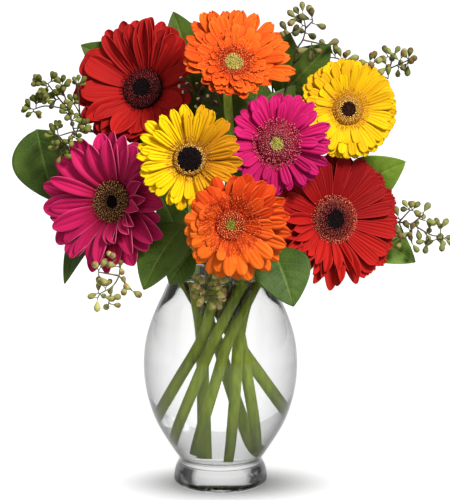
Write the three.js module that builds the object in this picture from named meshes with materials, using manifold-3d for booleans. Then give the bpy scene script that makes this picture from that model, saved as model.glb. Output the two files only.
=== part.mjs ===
// Gerberas in a vase: eight gerberas, salal leaves and seeded eucalyptus, standing in a clear glass vase of water.
// Millimetres, +Z up. The origin is the centre of the vase's flat foot, and -Y is the front of the arrangement.

import * as THREE from 'three';
import { mergeVertices } from 'three/addons/utils/BufferGeometryUtils.js';
import Module from 'manifold-3d';

const wasm = await Module();
wasm.setup();

// Driving dimensions of the vase and its water
const FOOT_RADIUS = 38.9;
const WAIST_RADIUS = 34.2;
const WAIST_HEIGHT = 19.5;
const BELLY_RADIUS = 63.5;
const BELLY_HEIGHT = 102;
const NECK_RADIUS = 39.8;
const NECK_HEIGHT = 178;
const RIM_RADIUS = 43;
const VASE_HEIGHT = 192;
const WALL = 3;
const FLOOR_HEIGHT = 23;
const WALL_START = 6;
const FLOOR_CORNER = [{ rise: 2.5, inset: 1 }, { rise: 0, inset: 5 }];
const WATER_LEVEL = 174;
const WATER_CORNER_GAP = 1;
const SHOULDER_HEIGHT = 140;
const VASE_SIDES = 26;
const WATER_SIDES = 16;
const GAP = 0.3;

// Driving dimensions of the gerbera stems: straight lines that cross where the bundle is narrowest. Behind its
// bloom a stem runs straight for a short way, below the line of its hub, and its end goes into the involucre.
const STEM_RADIUS = 3.6;
const STEM_CLEARANCE = 1.2;
const BUNDLE_RADIUS = 12.6;
const BUNDLE_HEIGHT = 121;
const STEM_SIDES = 6;
const STRAIGHT_TOP = 152;
const BEHIND_HUB = 24;
const BEHIND_DROP = 7;
const STEM_INSIDE = 1;
const CURVE_STEPS = 7;

// Driving dimensions of the gerbera heads, in a frame whose Z is the way the bloom faces
const HUB_HEIGHT = 6.5;
const HUB_SHARE = 0.8;
const PETAL_STATIONS = [[0.45, 0.95], [0.84, 0.92]];
const PETAL_THICKNESS = 0.9;
const PETAL_ROOT = 1.2;
const PETAL_ROOM = 0.93;
const PETAL_BOW = 1.5;
const LENGTH_UNREST = 0.04;
const CUP_UNREST = 2;
const INVOLUCRE_HEIGHT = 9;
const INVOLUCRE_FOOT = [{ beyondStem: 0.6, rise: -1 }, { beyondStem: 4, rise: 2 }];
const INVOLUCRE_CUP = [{ ofDisc: 0.8, rise: 5.5 }, { ofDisc: 0.86, rise: INVOLUCRE_HEIGHT - 0.3 }];
const HUB_SIDES = 8;
const DISC_SIDES = 12;
const DISC_INSET = 0.6;
const DISC_RINGS = [
  { share: 1, height: 0, relief: 0 },
  { share: 1.04, height: 1.2, relief: 0.9 },
  { share: 0.84, height: 3.6, relief: 0.9 },
  { share: 0.62, height: 4.2, relief: 0.9 },
  { share: 0.42, height: 3, relief: 0.9 },
  { share: 0.2, height: 2.6, relief: 0.3 },
];

// Driving dimensions of the foliage
const LEAF_THICKNESS = 0.9;
const LEAF_STATIONS = [[0.12, 0.66], [0.36, 1], [0.66, 0.8], [0.88, 0.34], [1, 0.04]];
const LEAF_ARCH = 0.09;
const LEAF_FOLD = 0.16;
const LEAF_WAVES = [0.05, -0.03];
const TWIG_RADIUS = 1.3;
const TWIG_TAPER = { foot: 1.1, loss: 0.4 };
const PETIOLE_RADIUS = 1;
const OUTER_FOOT = { radius: BUNDLE_RADIUS, lean: 0.44, height: 141 };
const INNER_FOOT = { radius: 5.5, lean: 0.2, height: 132 };
const POD_LENGTH = 6.4;
const POD_RADIUS = 2.7;
const POD_SIDES = 4;
const POD_SPACING = 3;
const POD_SPREAD = { first: 0.1, least: 1, more: 0.4 };
const POD_UNREST = 0.3;
const GOLDEN_ANGLE = Math.PI * (3 - Math.sqrt(5));
const SPRIG_RADIUS = 0.9;
const SPRIG_SIDES = 3;
const TWIG_SIDES = 4;
const STALK_LENGTH = 4.5;
const STALK_RADIUS = 0.5;

// Colours
const GLASS = new THREE.MeshStandardMaterial({ color: 0xe8eeee, roughness: 0.05, transparent: true, opacity: 0.35 });
const WATER = new THREE.MeshStandardMaterial({ color: 0xdfeaf0, roughness: 0.03, transparent: true, opacity: 0.3 });
const STEM = new THREE.MeshStandardMaterial({ color: 0x6d8c32, roughness: 0.6 });
const LEAF = new THREE.MeshStandardMaterial({ color: 0x3d6428, roughness: 0.5 });
const POD = new THREE.MeshStandardMaterial({ color: 0x8f9c52, roughness: 0.6 });
const petalColour = (color) => new THREE.MeshStandardMaterial({ color, roughness: 0.55 });

// The petal layers of each variety, from the back one to the front one. Reach and width are shares of the
// bloom's own reach, drop is how far below the disc the layer leaves the hub, and lift adds to the cup.
const BROAD_PETALS = [
  { count: 10, reach: 1, width: 0.37, drop: 4.9, lift: 0 },
  { count: 10, reach: 0.94, width: 0.36, drop: 2.3, lift: 5 },
];
const SLENDER_PETALS = [
  { count: 12, reach: 1, width: 0.3, drop: 4.9, lift: 0 },
  { count: 12, reach: 0.93, width: 0.28, drop: 2.3, lift: 6 },
];
const DOUBLE_PETALS = [
  { count: 11, reach: 1, width: 0.3, drop: 5.3, lift: -1 },
  { count: 11, reach: 0.9, width: 0.28, drop: 3.4, lift: 5 },
  { count: 8, reach: 0.7, width: 0.24, drop: 1.5, lift: 11 },
];

// The eight blooms. Yaw turns a bloom to its left or right and pitch tips it back, both in degrees from
// facing the front. Foot is where its stem stands in the vase, seen from above. Waist is where it passes the
// narrowest place of the bundle, and lean is how far it leans out for each millimetre of height above that. Via lists the points that the free stem passes. The petals
// towards longest, in degrees about the bloom, are longer by the share stretch, and the opposite ones shorter.
const BLOOMS = [
  {
    name: 'red_gerbera_left', colour: 0xc61f1c, disc: 0x5a0f14, petals: BROAD_PETALS,
    head: [-65, 12, 325], yaw: -17, pitch: 24, reach: 53, discRadius: 16.5, turn: 7, cup: 17,
    longest: 118, stretch: 0.17, foot: [45, 8], waist: 65, lean: 0.44, via: [[-31, 26, 205], [-52, 33, 268]],
  },
  {
    name: 'orange_gerbera_top', colour: 0xf0611a, disc: 0xd8b060, petals: DOUBLE_PETALS,
    head: [12, -41, 352], yaw: 11, pitch: 36, reach: 43.5, discRadius: 11, turn: 3, cup: 15,
    longest: 10, stretch: 0.07, foot: [27, -22], waist: 25, lean: 0.46, via: [[4, 30, 205], [8, 6, 280]],
  },
  {
    name: 'yellow_gerbera_right', colour: 0xf7cf0a, disc: 0x8a5a1c, petals: SLENDER_PETALS,
    head: [101, -15, 312], yaw: 9, pitch: 9, reach: 39.5, discRadius: 13, turn: 2, cup: 11,
    longest: 90, stretch: 0, foot: [6, -30], waist: -20, lean: 0.44, via: [[28, 24, 203], [66, 26, 255]],
  },
  {
    name: 'magenta_gerbera_right', colour: 0xcf1f78, disc: 0xb0604a, petals: SLENDER_PETALS,
    head: [44, -45, 289], yaw: 7, pitch: 9, reach: 40.5, discRadius: 15.5, turn: 9, cup: 12,
    longest: 0, stretch: 0.06, foot: [-35, -16], waist: -110, lean: 0.42, via: [[24, -23, 205]],
  },
  {
    name: 'yellow_gerbera_left', colour: 0xf7cf0a, disc: 0x8a5a1c, petals: SLENDER_PETALS,
    head: [-24, -76, 283], yaw: 0, pitch: 12, reach: 41, discRadius: 13.5, turn: 5, cup: 13,
    longest: 90, stretch: 0.05, foot: [-8, 20], waist: -200, lean: 0.4, via: [[-21, -26, 205]],
  },
  {
    name: 'magenta_gerbera_left', colour: 0xc31a62, disc: 0x6e4a1e, petals: SLENDER_PETALS,
    head: [-86, -28, 240], yaw: -31, pitch: 11, reach: 57, discRadius: 16.5, turn: 12, cup: 14,
    longest: 180, stretch: 0.08, foot: [19, 24], waist: 110, lean: 0.44, via: [[-34, -2, 198], [-51, 0, 210]],
  },
  {
    name: 'orange_gerbera_low', colour: 0xf0611a, disc: 0xd8b060, petals: DOUBLE_PETALS,
    head: [9, -95, 235], yaw: 9, pitch: 1, reach: 44, discRadius: 12, turn: 0, cup: 13,
    longest: -31, stretch: 0.13, foot: [-45, 0], waist: -155, lean: 0.42, via: [[2, -34, 198], [4, -48, 214]],
  },
  {
    name: 'red_gerbera_right', colour: 0xcc2018, disc: 0x6a1014, petals: BROAD_PETALS,
    head: [92, -20, 224], yaw: 23, pitch: 11, reach: 54.5, discRadius: 17, turn: 4, cup: 8,
    longest: 0, stretch: 0.05, foot: [-20, -28], waist: -65, lean: 0.46, via: [[34, 1, 196], [52, 3, 206]],
  },
];

// The leafy stems. Each leaf runs from base to tip with its upper face turned the way faces says. Foot is where
// the stem stands in the bundle: outer ones between the gerbera stems, inner ones within their ring.
const LEAFY_STEMS = [
  {
    name: 'salal_stem_left', foot: { waist: 88, inner: false },
    via: [[-28, 14, 194], [-56, 24, 214], [-90, 22, 240], [-112, 20, 270]],
    leaves: [
      { base: [-128, 18, 290], tip: [-152, 13, 237], faces: [-0.2, -0.95, 0.2], width: 56 },
      { base: [-90, 10, 226], tip: [-126, -14, 170], faces: [-0.5, -0.5, 0.7], width: 32 },
    ],
  },
  {
    name: 'salal_stem_top_left', foot: { waist: 45, inner: false },
    via: [[-13, 35, 203], [-26, 46, 270], [-34, 48, 318]],
    leaves: [
      { base: [-56, 50, 324], tip: [-114, 42, 357], faces: [-0.2, -0.95, 0.3], width: 40 },
      { base: [-24, 42, 334], tip: [-38, 30, 385], faces: [0.1, -0.95, 0.3], width: 36 },
    ],
  },
  {
    name: 'salal_stem_top_right', foot: { waist: 2, inner: false },
    via: [[15, 33, 203], [30, 36, 260], [44, 28, 305]],
    leaves: [
      { base: [48, 22, 316], tip: [88, 6, 361], faces: [-0.1, -0.97, 0.2], width: 44 },
      { base: [42, 24, 326], tip: [54, 8, 371], faces: [0.1, -0.95, 0.25], width: 34 },
    ],
  },
  {
    name: 'salal_stem_right', foot: { waist: -42, inner: false },
    via: [[31, 15, 194], [60, 28, 206], [92, 36, 220]],
    leaves: [
      { base: [106, 32, 238], tip: [150, 10, 266], faces: [0.1, -0.97, 0.3], width: 40 },
      { base: [104, 34, 208], tip: [160, 12, 182], faces: [0.15, -0.9, 0.4], width: 42 },
    ],
  },
  {
    name: 'salal_stem_front_left', foot: { waist: 135, inner: false },
    via: [[-31, -12, 192], [-34, -30, 212]],
    leaves: [
      { base: [-29, -40, 224], tip: [-60, -56, 175], faces: [-0.5, -0.8, 0.35], width: 44 },
    ],
  },
  {
    name: 'salal_stem_front_right', foot: { waist: -133, inner: false },
    via: [[14, -33, 190], [32, -43, 206]],
    leaves: [
      { base: [42, -50, 214], tip: [58, -72, 166], faces: [0.15, -0.9, 0.4], width: 42 },
    ],
  },
  {
    name: 'salal_stem_back', foot: { waist: 60, inner: true },
    via: [[-6, 24, 192], [-8, 48, 230], [2, 58, 262]],
    leaves: [
      { base: [-16, 58, 238], tip: [-62, 72, 214], faces: [-0.2, 0.9, 0.35], width: 44 },
      { base: [12, 60, 246], tip: [62, 68, 222], faces: [0.2, 0.9, 0.35], width: 44 },
      { base: [2, 60, 272], tip: [-4, 66, 326], faces: [0, 0.97, 0.2], width: 42 },
    ],
  },
];

// The eucalyptus sprays. Each twig leaves the main one and ends in a bunch of pods that spread about its end.
const SPRAYS = [
  {
    name: 'eucalyptus_left', foot: { waist: 120, inner: true },
    via: [[-22, 2, 206], [-50, 16, 240], [-86, 18, 274], [-102, 12, 292], [-122, 2, 306]],
    twigs: [
      { to: [[-122, 2, 306], [-144, -2, 312]], pods: 4 },
      { to: [[-122, 2, 306], [-134, 0, 323]], pods: 3 },
      { to: [[-102, 12, 292], [-116, 8, 320]], pods: 2 },
      { to: [[-102, 12, 292], [-124, -14, 286]], pods: 3 },
    ],
  },
  {
    name: 'eucalyptus_middle', foot: { waist: 180, inner: true },
    via: [[-13, -2, 205], [-18, -6, 262], [-20, -8, 306]],
    twigs: [
      { to: [[-20, -8, 306], [-17, -18, 324]], pods: 3 },
      { to: [[-18, -6, 286], [-6, -24, 308]], pods: 2 },
    ],
  },
  {
    name: 'eucalyptus_top_right', foot: { waist: 0, inner: true },
    via: [[10, 16, 205], [34, 14, 268], [52, 0, 316], [58, -6, 346]],
    twigs: [
      { to: [[58, -6, 346], [66, -8, 362], [72, -8, 378]], pods: 4 },
      { to: [[58, -6, 346], [52, -8, 364]], pods: 2 },
      { to: [[58, -6, 346], [80, -8, 362]], pods: 2 },
    ],
  },
  {
    name: 'eucalyptus_far_right', foot: { waist: -60, inner: true },
    via: [[16, 4, 200], [56, 12, 236], [108, 26, 276], [126, 16, 328]],
    twigs: [
      { to: [[126, 16, 328], [148, 4, 344]], pods: 4 },
      { to: [[126, 16, 328], [130, 8, 350]], pods: 3 },
      { to: [[116, 24, 300], [88, 20, 346]], pods: 2 },
    ],
  },
  {
    name: 'eucalyptus_right', foot: { waist: -88, inner: false },
    via: [[32, -12, 194], [62, -2, 197], [104, 8, 206], [142, 4, 222]],
    twigs: [
      { to: [[142, 4, 222], [158, -8, 218], [172, -14, 216]], pods: 5 },
      { to: [[142, 4, 222], [152, -4, 236]], pods: 2 },
      { to: [[142, 4, 222], [146, -12, 210]], pods: 2 },
    ],
  },
  {
    name: 'eucalyptus_low_left', foot: { waist: -120, inner: true },
    via: [[-10, -28, 194], [-24, -34, 206], [-56, -34, 208], [-76, -40, 196]],
    twigs: [
      { to: [[-76, -40, 196], [-84, -44, 178]], pods: 5 },
      { to: [[-76, -40, 196], [-72, -50, 184]], pods: 3 },
    ],
  },
  {
    name: 'eucalyptus_front', foot: { waist: -178, inner: false },
    via: [[-11, -34, 190], [-12, -48, 197], [-10, -57, 186]],
    twigs: [
      { to: [[-10, -57, 186], [-15, -62, 173]], pods: 4 },
      { to: [[-10, -57, 186], [2, -62, 176]], pods: 4 },
    ],
  },
];

const degrees = THREE.MathUtils.degToRad;
const vector = (point) => new THREE.Vector3(...point);

// The same draw of chance each time
function seeded(seed) {
  let state = seed;
  return () => {
    state = (state * 16807) % 2147483647;
    return state / 2147483647;
  };
}

function geometryFrom(points, triangles) {
  const geometry = new THREE.BufferGeometry();
  geometry.setAttribute('position', new THREE.Float32BufferAttribute(points.flat(), 3));
  geometry.setIndex(triangles.flat());
  return geometry;
}

function solidFrom(geometry) {
  const bare = geometry.clone();
  bare.deleteAttribute('normal');
  bare.deleteAttribute('uv');
  const merged = mergeVertices(bare, 1e-4);
  const mesh = new wasm.Mesh({
    numProp: 3,
    vertProperties: new Float32Array(merged.attributes.position.array),
    triVerts: new Uint32Array(merged.index.array),
  });
  return new wasm.Manifold(mesh);
}

function joined(geometries) {
  let whole = solidFrom(geometries[0]);
  for (const geometry of geometries.slice(1)) {
    whole = whole.add(solidFrom(geometry));
  }
  return geometryOf(whole);
}

function geometryOf(solid) {
  const mesh = solid.getMesh();
  const geometry = new THREE.BufferGeometry();
  geometry.setAttribute('position', new THREE.BufferAttribute(mesh.vertProperties.slice(), 3));
  geometry.setIndex(new THREE.BufferAttribute(mesh.triVerts.slice(), 1));
  return geometry;
}

// A closed skin over rings of points: each ring joins the next, and the first and last are closed by fans
function skin(rings) {
  const sides = rings[0].length;
  const triangles = [];
  for (let i = 0; i + 1 < rings.length; i++) {
    for (let j = 0; j < sides; j++) {
      const k = (j + 1) % sides;
      const a = i * sides;
      const b = a + sides;
      triangles.push([a + j, a + k, b + k], [a + j, b + k, b + j]);
    }
  }
  const last = (rings.length - 1) * sides;
  for (let j = 1; j + 1 < sides; j++) {
    triangles.push([0, j + 1, j], [last, last + j, last + j + 1]);
  }
  return geometryFrom(rings.flat(), triangles);
}

// A tube through a row of points, whose radius follows a function of the share of its length
function tube(points, sides, radiusAt) {
  const last = points.length - 1;
  const normal = new THREE.Vector3(1, 0, 0);
  const rings = points.map((centre, i) => {
    const tangent = points[Math.min(i + 1, last)].clone().sub(points[Math.max(i - 1, 0)]).normalize();
    normal.addScaledVector(tangent, -normal.dot(tangent)).normalize();
    const binormal = new THREE.Vector3().crossVectors(tangent, normal);
    const radius = radiusAt(i / last);
    const ring = [];
    for (let j = 0; j < sides; j++) {
      const angle = (2 * Math.PI * j) / sides;
      const point = centre.clone();
      point.addScaledVector(normal, radius * Math.cos(angle));
      point.addScaledVector(binormal, radius * Math.sin(angle));
      ring.push(point.toArray());
    }
    return ring;
  });
  return skin(rings);
}

// A thin closed blade on a grid of points, split into triangles alike on both faces
function blade(rows, thickness) {
  const across = rows[0].length;
  const at = (i, j) => rows[Math.min(Math.max(i, 0), rows.length - 1)][Math.min(Math.max(j, 0), across - 1)];
  const upper = [];
  const lower = [];
  for (let i = 0; i < rows.length; i++) {
    for (let j = 0; j < across; j++) {
      const along = at(i + 1, j).clone().sub(at(i - 1, j));
      const sideways = at(i, j + 1).clone().sub(at(i, j - 1));
      const normal = along.cross(sideways).normalize().multiplyScalar(thickness / 2);
      upper.push(at(i, j).clone().add(normal).toArray());
      lower.push(at(i, j).clone().sub(normal).toArray());
    }
  }
  const below = upper.length;
  const triangles = [];
  for (let i = 0; i + 1 < rows.length; i++) {
    for (let j = 0; j + 1 < across; j++) {
      const a = i * across + j;
      const b = a + across;
      triangles.push([a, b, b + 1], [a, b + 1, a + 1]);
      triangles.push([below + a, below + b + 1, below + b], [below + a, below + a + 1, below + b + 1]);
    }
  }
  const edge = [];
  for (let j = 0; j < across; j++) edge.push(j);
  for (let i = 1; i < rows.length; i++) edge.push(i * across + across - 1);
  for (let j = across - 2; j >= 0; j--) edge.push((rows.length - 1) * across + j);
  for (let i = rows.length - 2; i > 0; i--) edge.push(i * across);
  for (let k = 0; k < edge.length; k++) {
    const a = edge[k];
    const b = edge[(k + 1) % edge.length];
    triangles.push([a, b, below + b], [a, below + b, below + a]);
  }
  return geometryFrom([...upper, ...lower], triangles);
}

// The vase's outer wall from waist to rim is one smooth curve through the sizes that give it its shape
const wallCurve = new THREE.SplineCurve([
  new THREE.Vector2(WAIST_RADIUS, WAIST_HEIGHT),
  new THREE.Vector2(41.5, 30.5),
  new THREE.Vector2(54.5, 53.7),
  new THREE.Vector2(61.8, 79),
  new THREE.Vector2(BELLY_RADIUS, BELLY_HEIGHT),
  new THREE.Vector2(60.9, 123),
  new THREE.Vector2(54.3, 142.8),
  new THREE.Vector2(45.6, 162),
  new THREE.Vector2(NECK_RADIUS, NECK_HEIGHT),
  new THREE.Vector2(RIM_RADIUS, VASE_HEIGHT - WALL / 2),
]);
const WALL_POINTS = wallCurve.getPoints(9);
const FOOT_POINTS = [
  new THREE.Vector2(FOOT_RADIUS - 2, 0),
  new THREE.Vector2(FOOT_RADIUS - 0.4, 1),
  new THREE.Vector2(FOOT_RADIUS, 3),
  new THREE.Vector2(FOOT_RADIUS - 0.8, 8),
  new THREE.Vector2(FOOT_RADIUS - 3, 14),
];

// The wall's inner radius at a height, for the hollow and the water
function innerRadius(height) {
  for (let i = 1; i < WALL_POINTS.length; i++) {
    const low = WALL_POINTS[i - 1];
    const high = WALL_POINTS[i];
    if (height <= high.y) {
      const share = (height - low.y) / (high.y - low.y);
      return low.x + share * (high.x - low.x) - WALL;
    }
  }
  return RIM_RADIUS - WALL;
}

function vaseGeometry() {
  const inside = WALL_POINTS.filter((point) => point.y > FLOOR_HEIGHT + WALL_START);
  const hollow = inside.map((point) => new THREE.Vector2(point.x - WALL, point.y)).reverse();
  const profile = [
    new THREE.Vector2(0, 0),
    ...FOOT_POINTS,
    ...WALL_POINTS,
    new THREE.Vector2(RIM_RADIUS - WALL / 2, VASE_HEIGHT),
    ...hollow,
    ...FLOOR_CORNER.map(({ rise, inset }) => {
      return new THREE.Vector2(innerRadius(FLOOR_HEIGHT + rise) - inset, FLOOR_HEIGHT + rise);
    }),
    new THREE.Vector2(0, FLOOR_HEIGHT),
  ];
  return new THREE.LatheGeometry(profile, VASE_SIDES).rotateX(Math.PI / 2);
}

// The water fills the vase a hair inside the wall, below the flat facets of the glass
function waterGeometry(standing) {
  const facetShare = Math.cos(Math.PI / VASE_SIDES);
  const radiusAt = (height) => (innerRadius(height) - 2 * GAP) * facetShare;
  const heights = WALL_POINTS.map((point) => point.y);
  const levels = heights.filter((y) => y > FLOOR_HEIGHT + WALL_START && y < WATER_LEVEL);
  const chosen = levels.filter((level, i) => i % 2 === 0 || level > SHOULDER_HEIGHT);
  const corner = [...FLOOR_CORNER].reverse().map(({ rise, inset }) => {
    return new THREE.Vector2(radiusAt(FLOOR_HEIGHT + rise) - inset - WATER_CORNER_GAP, FLOOR_HEIGHT + rise + GAP);
  });
  const profile = [
    new THREE.Vector2(0, FLOOR_HEIGHT + GAP),
    ...corner,
    ...chosen.map((level) => new THREE.Vector2(radiusAt(level), level)),
    new THREE.Vector2(radiusAt(WATER_LEVEL), WATER_LEVEL),
    new THREE.Vector2(0, WATER_LEVEL),
  ];
  let water = solidFrom(new THREE.LatheGeometry(profile, WATER_SIDES).rotateX(Math.PI / 2));
  for (const hole of standing) {
    water = water.subtract(solidFrom(hole));
  }
  return geometryOf(water);
}

// A stem's straight line through the bundle: the lines of one twist pass each other without meeting
function bundlePoint(waist, lean, height, radius = BUNDLE_RADIUS) {
  const angle = degrees(waist);
  const out = lean * (height - BUNDLE_HEIGHT);
  return new THREE.Vector3(
    radius * Math.cos(angle) - out * Math.sin(angle),
    radius * Math.sin(angle) + out * Math.cos(angle),
    height,
  );
}

// A gerbera stem stands on the vase's floor, or on its inner wall where the floor doesn't reach that far out
function stemFoot([x, y]) {
  const reach = Math.hypot(x, y) + STEM_RADIUS + STEM_CLEARANCE;
  let height = FLOOR_HEIGHT + STEM_RADIUS;
  while (reach > innerRadius(height)) {
    height += 0.5;
  }
  return new THREE.Vector3(x, y, height);
}

function bloomMatrix(bloom) {
  const turn = new THREE.Quaternion().setFromEuler(
    new THREE.Euler(degrees(90 - bloom.pitch), 0, degrees(bloom.yaw), 'ZXY'),
  );
  return new THREE.Matrix4().compose(vector(bloom.head), turn, new THREE.Vector3(1, 1, 1));
}

// A stem is straight where it stands in the bundle, and then follows a curve through its via points
function risingPoints(straight, bends, rest) {
  const curve = new THREE.CatmullRomCurve3([...bends, ...rest]);
  return [...straight, ...curve.getPoints(CURVE_STEPS)];
}

function stemPoints(bloom) {
  const matrix = bloomMatrix(bloom);
  const end = new THREE.Vector3(0, 0, -HUB_HEIGHT - INVOLUCRE_HEIGHT + STEM_INSIDE).applyMatrix4(matrix);
  const behind = new THREE.Vector3(0, 0, -HUB_HEIGHT - BEHIND_HUB).applyMatrix4(matrix);
  behind.z -= BEHIND_DROP;
  const at = (height) => bundlePoint(bloom.waist, bloom.lean, height);
  const straight = [stemFoot(bloom.foot), at(BUNDLE_HEIGHT)];
  return risingPoints(straight, [STRAIGHT_TOP, NECK_HEIGHT].map(at), [...bloom.via.map(vector), behind, end]);
}

function stemTube(bloom, extra) {
  return tube(stemPoints(bloom), STEM_SIDES, () => STEM_RADIUS + extra);
}

function involucre(bloom) {
  const base = -HUB_HEIGHT - INVOLUCRE_HEIGHT;
  const wall = [
    ...INVOLUCRE_FOOT.map(({ beyondStem, rise }) => new THREE.Vector2(STEM_RADIUS + beyondStem, base + rise)),
    ...INVOLUCRE_CUP.map(({ ofDisc, rise }) => new THREE.Vector2(bloom.discRadius * ofDisc, base + rise)),
  ];
  const profile = [new THREE.Vector2(0, wall[0].y), ...wall, new THREE.Vector2(0, wall[wall.length - 1].y)];
  return new THREE.LatheGeometry(profile, HUB_SIDES).rotateX(Math.PI / 2).applyMatrix4(bloomMatrix(bloom));
}

// One layer of petals in the bloom's own frame: a thin star-shaped plate whose rays leave the hub steeply and
// flatten towards their rounded tips. Neighbouring rays share the point where they meet at the root.
function petalLayer(bloom, layer, turn, random) {
  const root = bloom.discRadius - PETAL_ROOT;
  const pitch = (2 * Math.PI) / layer.count;
  const middle = new THREE.Vector3(0, 0, -layer.drop);
  const plate = [middle];
  const faces = [];
  const rim = [];
  const rootAt = (i) => 1 + (i % layer.count);
  for (let i = 0; i < layer.count; i++) {
    const angle = turn + (i - 0.5) * pitch;
    plate.push(new THREE.Vector3(root * Math.cos(angle), root * Math.sin(angle), -layer.drop));
  }
  for (let i = 0; i < layer.count; i++) {
    const jitter = 2 * random() - 1;
    const stretch = 1 + bloom.stretch * Math.cos(turn + i * pitch - degrees(bloom.longest));
    const length = (bloom.reach * layer.reach * stretch - root) * (1 + LENGTH_UNREST * jitter);
    const cup = degrees(bloom.cup + layer.lift + CUP_UNREST * jitter);
    const bow = PETAL_BOW * cup;
    const spine = new THREE.QuadraticBezierCurve(
      new THREE.Vector2(root, -layer.drop),
      new THREE.Vector2(root + (length / 2) * Math.cos(bow), (length / 2) * Math.sin(bow) - layer.drop),
      new THREE.Vector2(root + length * Math.cos(cup), length * Math.sin(cup) - layer.drop),
    );
    const first = plate.length;
    for (const [share, width] of PETAL_STATIONS) {
      const spot = spine.getPoint(share);
      const room = PETAL_ROOM * spot.x * Math.tan(pitch / 2);
      const half = Math.min((bloom.reach * layer.width * width) / 2, room);
      for (const side of [-half, half]) {
        const point = new THREE.Vector3(spot.x, side, spot.y);
        plate.push(point.applyAxisAngle(new THREE.Vector3(0, 0, 1), turn + i * pitch));
      }
    }
    const tip = plate.length;
    const end = spine.getPoint(1);
    plate.push(new THREE.Vector3(end.x, 0, end.y).applyAxisAngle(new THREE.Vector3(0, 0, 1), turn + i * pitch));
    const left = rootAt(i);
    const right = rootAt(i + 1);
    faces.push([0, left, right]);
    const ladder = [[left, right]];
    PETAL_STATIONS.forEach((station, k) => ladder.push([first + 2 * k, first + 2 * k + 1]));
    for (let k = 0; k + 1 < ladder.length; k++) {
      faces.push([ladder[k][0], ladder[k + 1][0], ladder[k + 1][1]], [ladder[k][0], ladder[k + 1][1], ladder[k][1]]);
    }
    const last = ladder[ladder.length - 1];
    faces.push([last[0], tip, last[1]]);
    rim.push(...ladder.map((pair) => pair[0]), tip, ...ladder.slice(1).reverse().map((pair) => pair[1]));
  }
  return plateSolid(plate, faces, rim, PETAL_THICKNESS);
}

// A thin closed plate from a sheet that looks up along Z: its upper and lower faces and the wall round its rim
function plateSolid(points, faces, rim, thickness) {
  const shift = new THREE.Vector3(0, 0, thickness / 2);
  const upper = points.map((point) => point.clone().add(shift).toArray());
  const lower = points.map((point) => point.clone().sub(shift).toArray());
  const below = points.length;
  const triangles = [];
  for (const [a, b, c] of faces) {
    triangles.push([a, b, c], [below + a, below + c, below + b]);
  }
  rim.forEach((a, k) => {
    const b = rim[(k + 1) % rim.length];
    triangles.push([a, below + a, below + b], [a, below + b, b]);
  });
  return geometryFrom([...upper, ...lower], triangles);
}

function petalGeometry(bloom, seed) {
  const random = seeded(seed);
  const hub = new THREE.LatheGeometry([
    new THREE.Vector2(0, -HUB_HEIGHT),
    new THREE.Vector2(bloom.discRadius * HUB_SHARE, -HUB_HEIGHT),
    new THREE.Vector2(bloom.discRadius * HUB_SHARE, 0),
    new THREE.Vector2(0, 0),
  ], HUB_SIDES).rotateX(Math.PI / 2);
  const layers = bloom.petals.map((layer, index) => {
    const turn = degrees(bloom.turn) + (index * Math.PI) / layer.count;
    return petalLayer(bloom, layer, turn, random);
  });
  return joined([hub, ...layers]);
}

// The disc: a low eye and round it a crown of florets, as a relief of points that stand up in turn
function discGeometry(bloom) {
  const radius = bloom.discRadius - DISC_INSET;
  const rows = DISC_RINGS.map(({ share, height, relief }, ring) => {
    const row = [];
    for (let k = 0; k < DISC_SIDES; k++) {
      const tall = (k + ring) % 2 === 0 ? 1 : -1;
      const angle = (2 * Math.PI * k) / DISC_SIDES;
      const spread = radius * share;
      row.push([spread * Math.cos(angle), spread * Math.sin(angle), GAP + height + relief * tall]);
    }
    return row;
  });
  return skin(rows);
}

// A broad leaf, folded a little along its midrib, with a pointed tip and waved edges
function leafBlade(leaf, from) {
  const base = vector(leaf.base);
  const along = vector(leaf.tip).sub(base);
  const length = along.length();
  along.normalize();
  const faces = vector(leaf.faces);
  faces.addScaledVector(along, -faces.dot(along)).normalize();
  const across = new THREE.Vector3().crossVectors(faces, along);
  const stalk = [from, base].map((point) => [-1, 0, 1].map((side) => {
    return point.clone().addScaledVector(across, side * PETIOLE_RADIUS);
  }));
  const rows = LEAF_STATIONS.map(([share, width], i) => {
    const half = (leaf.width / 2) * width;
    const arch = LEAF_ARCH * length * Math.sin(Math.PI * share);
    const wave = LEAF_WAVES[i % LEAF_WAVES.length];
    return [-1, 0, 1].map((side) => {
      const rise = arch + Math.abs(side) * half * (LEAF_FOLD + side * wave);
      return base.clone()
        .addScaledVector(along, share * length)
        .addScaledVector(across, side * half)
        .addScaledVector(faces, rise);
    });
  });
  return blade([...stalk, ...rows], LEAF_THICKNESS);
}

function foliagePoints(piece) {
  const place = piece.foot.inner ? INNER_FOOT : OUTER_FOOT;
  const at = (height) => bundlePoint(piece.foot.waist, place.lean, height, place.radius);
  return risingPoints([at(place.height)], [STRAIGHT_TOP, NECK_HEIGHT].map(at), piece.via.map(vector));
}

function foliageTube(piece, extra) {
  const radiusAt = (share) => TWIG_RADIUS * (TWIG_TAPER.foot - TWIG_TAPER.loss * share) + extra;
  return tube(foliagePoints(piece), TWIG_SIDES, radiusAt);
}

function nearestOn(points, point) {
  return [...points].sort((a, b) => a.distanceTo(point) - b.distanceTo(point))[0];
}

function leafyStemGeometry(piece) {
  const stem = foliagePoints(piece);
  const pieces = [foliageTube(piece, 0)];
  for (const leaf of piece.leaves) {
    pieces.push(leafBlade(leaf, nearestOn(stem, vector(leaf.base))));
  }
  return joined(pieces);
}

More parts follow.
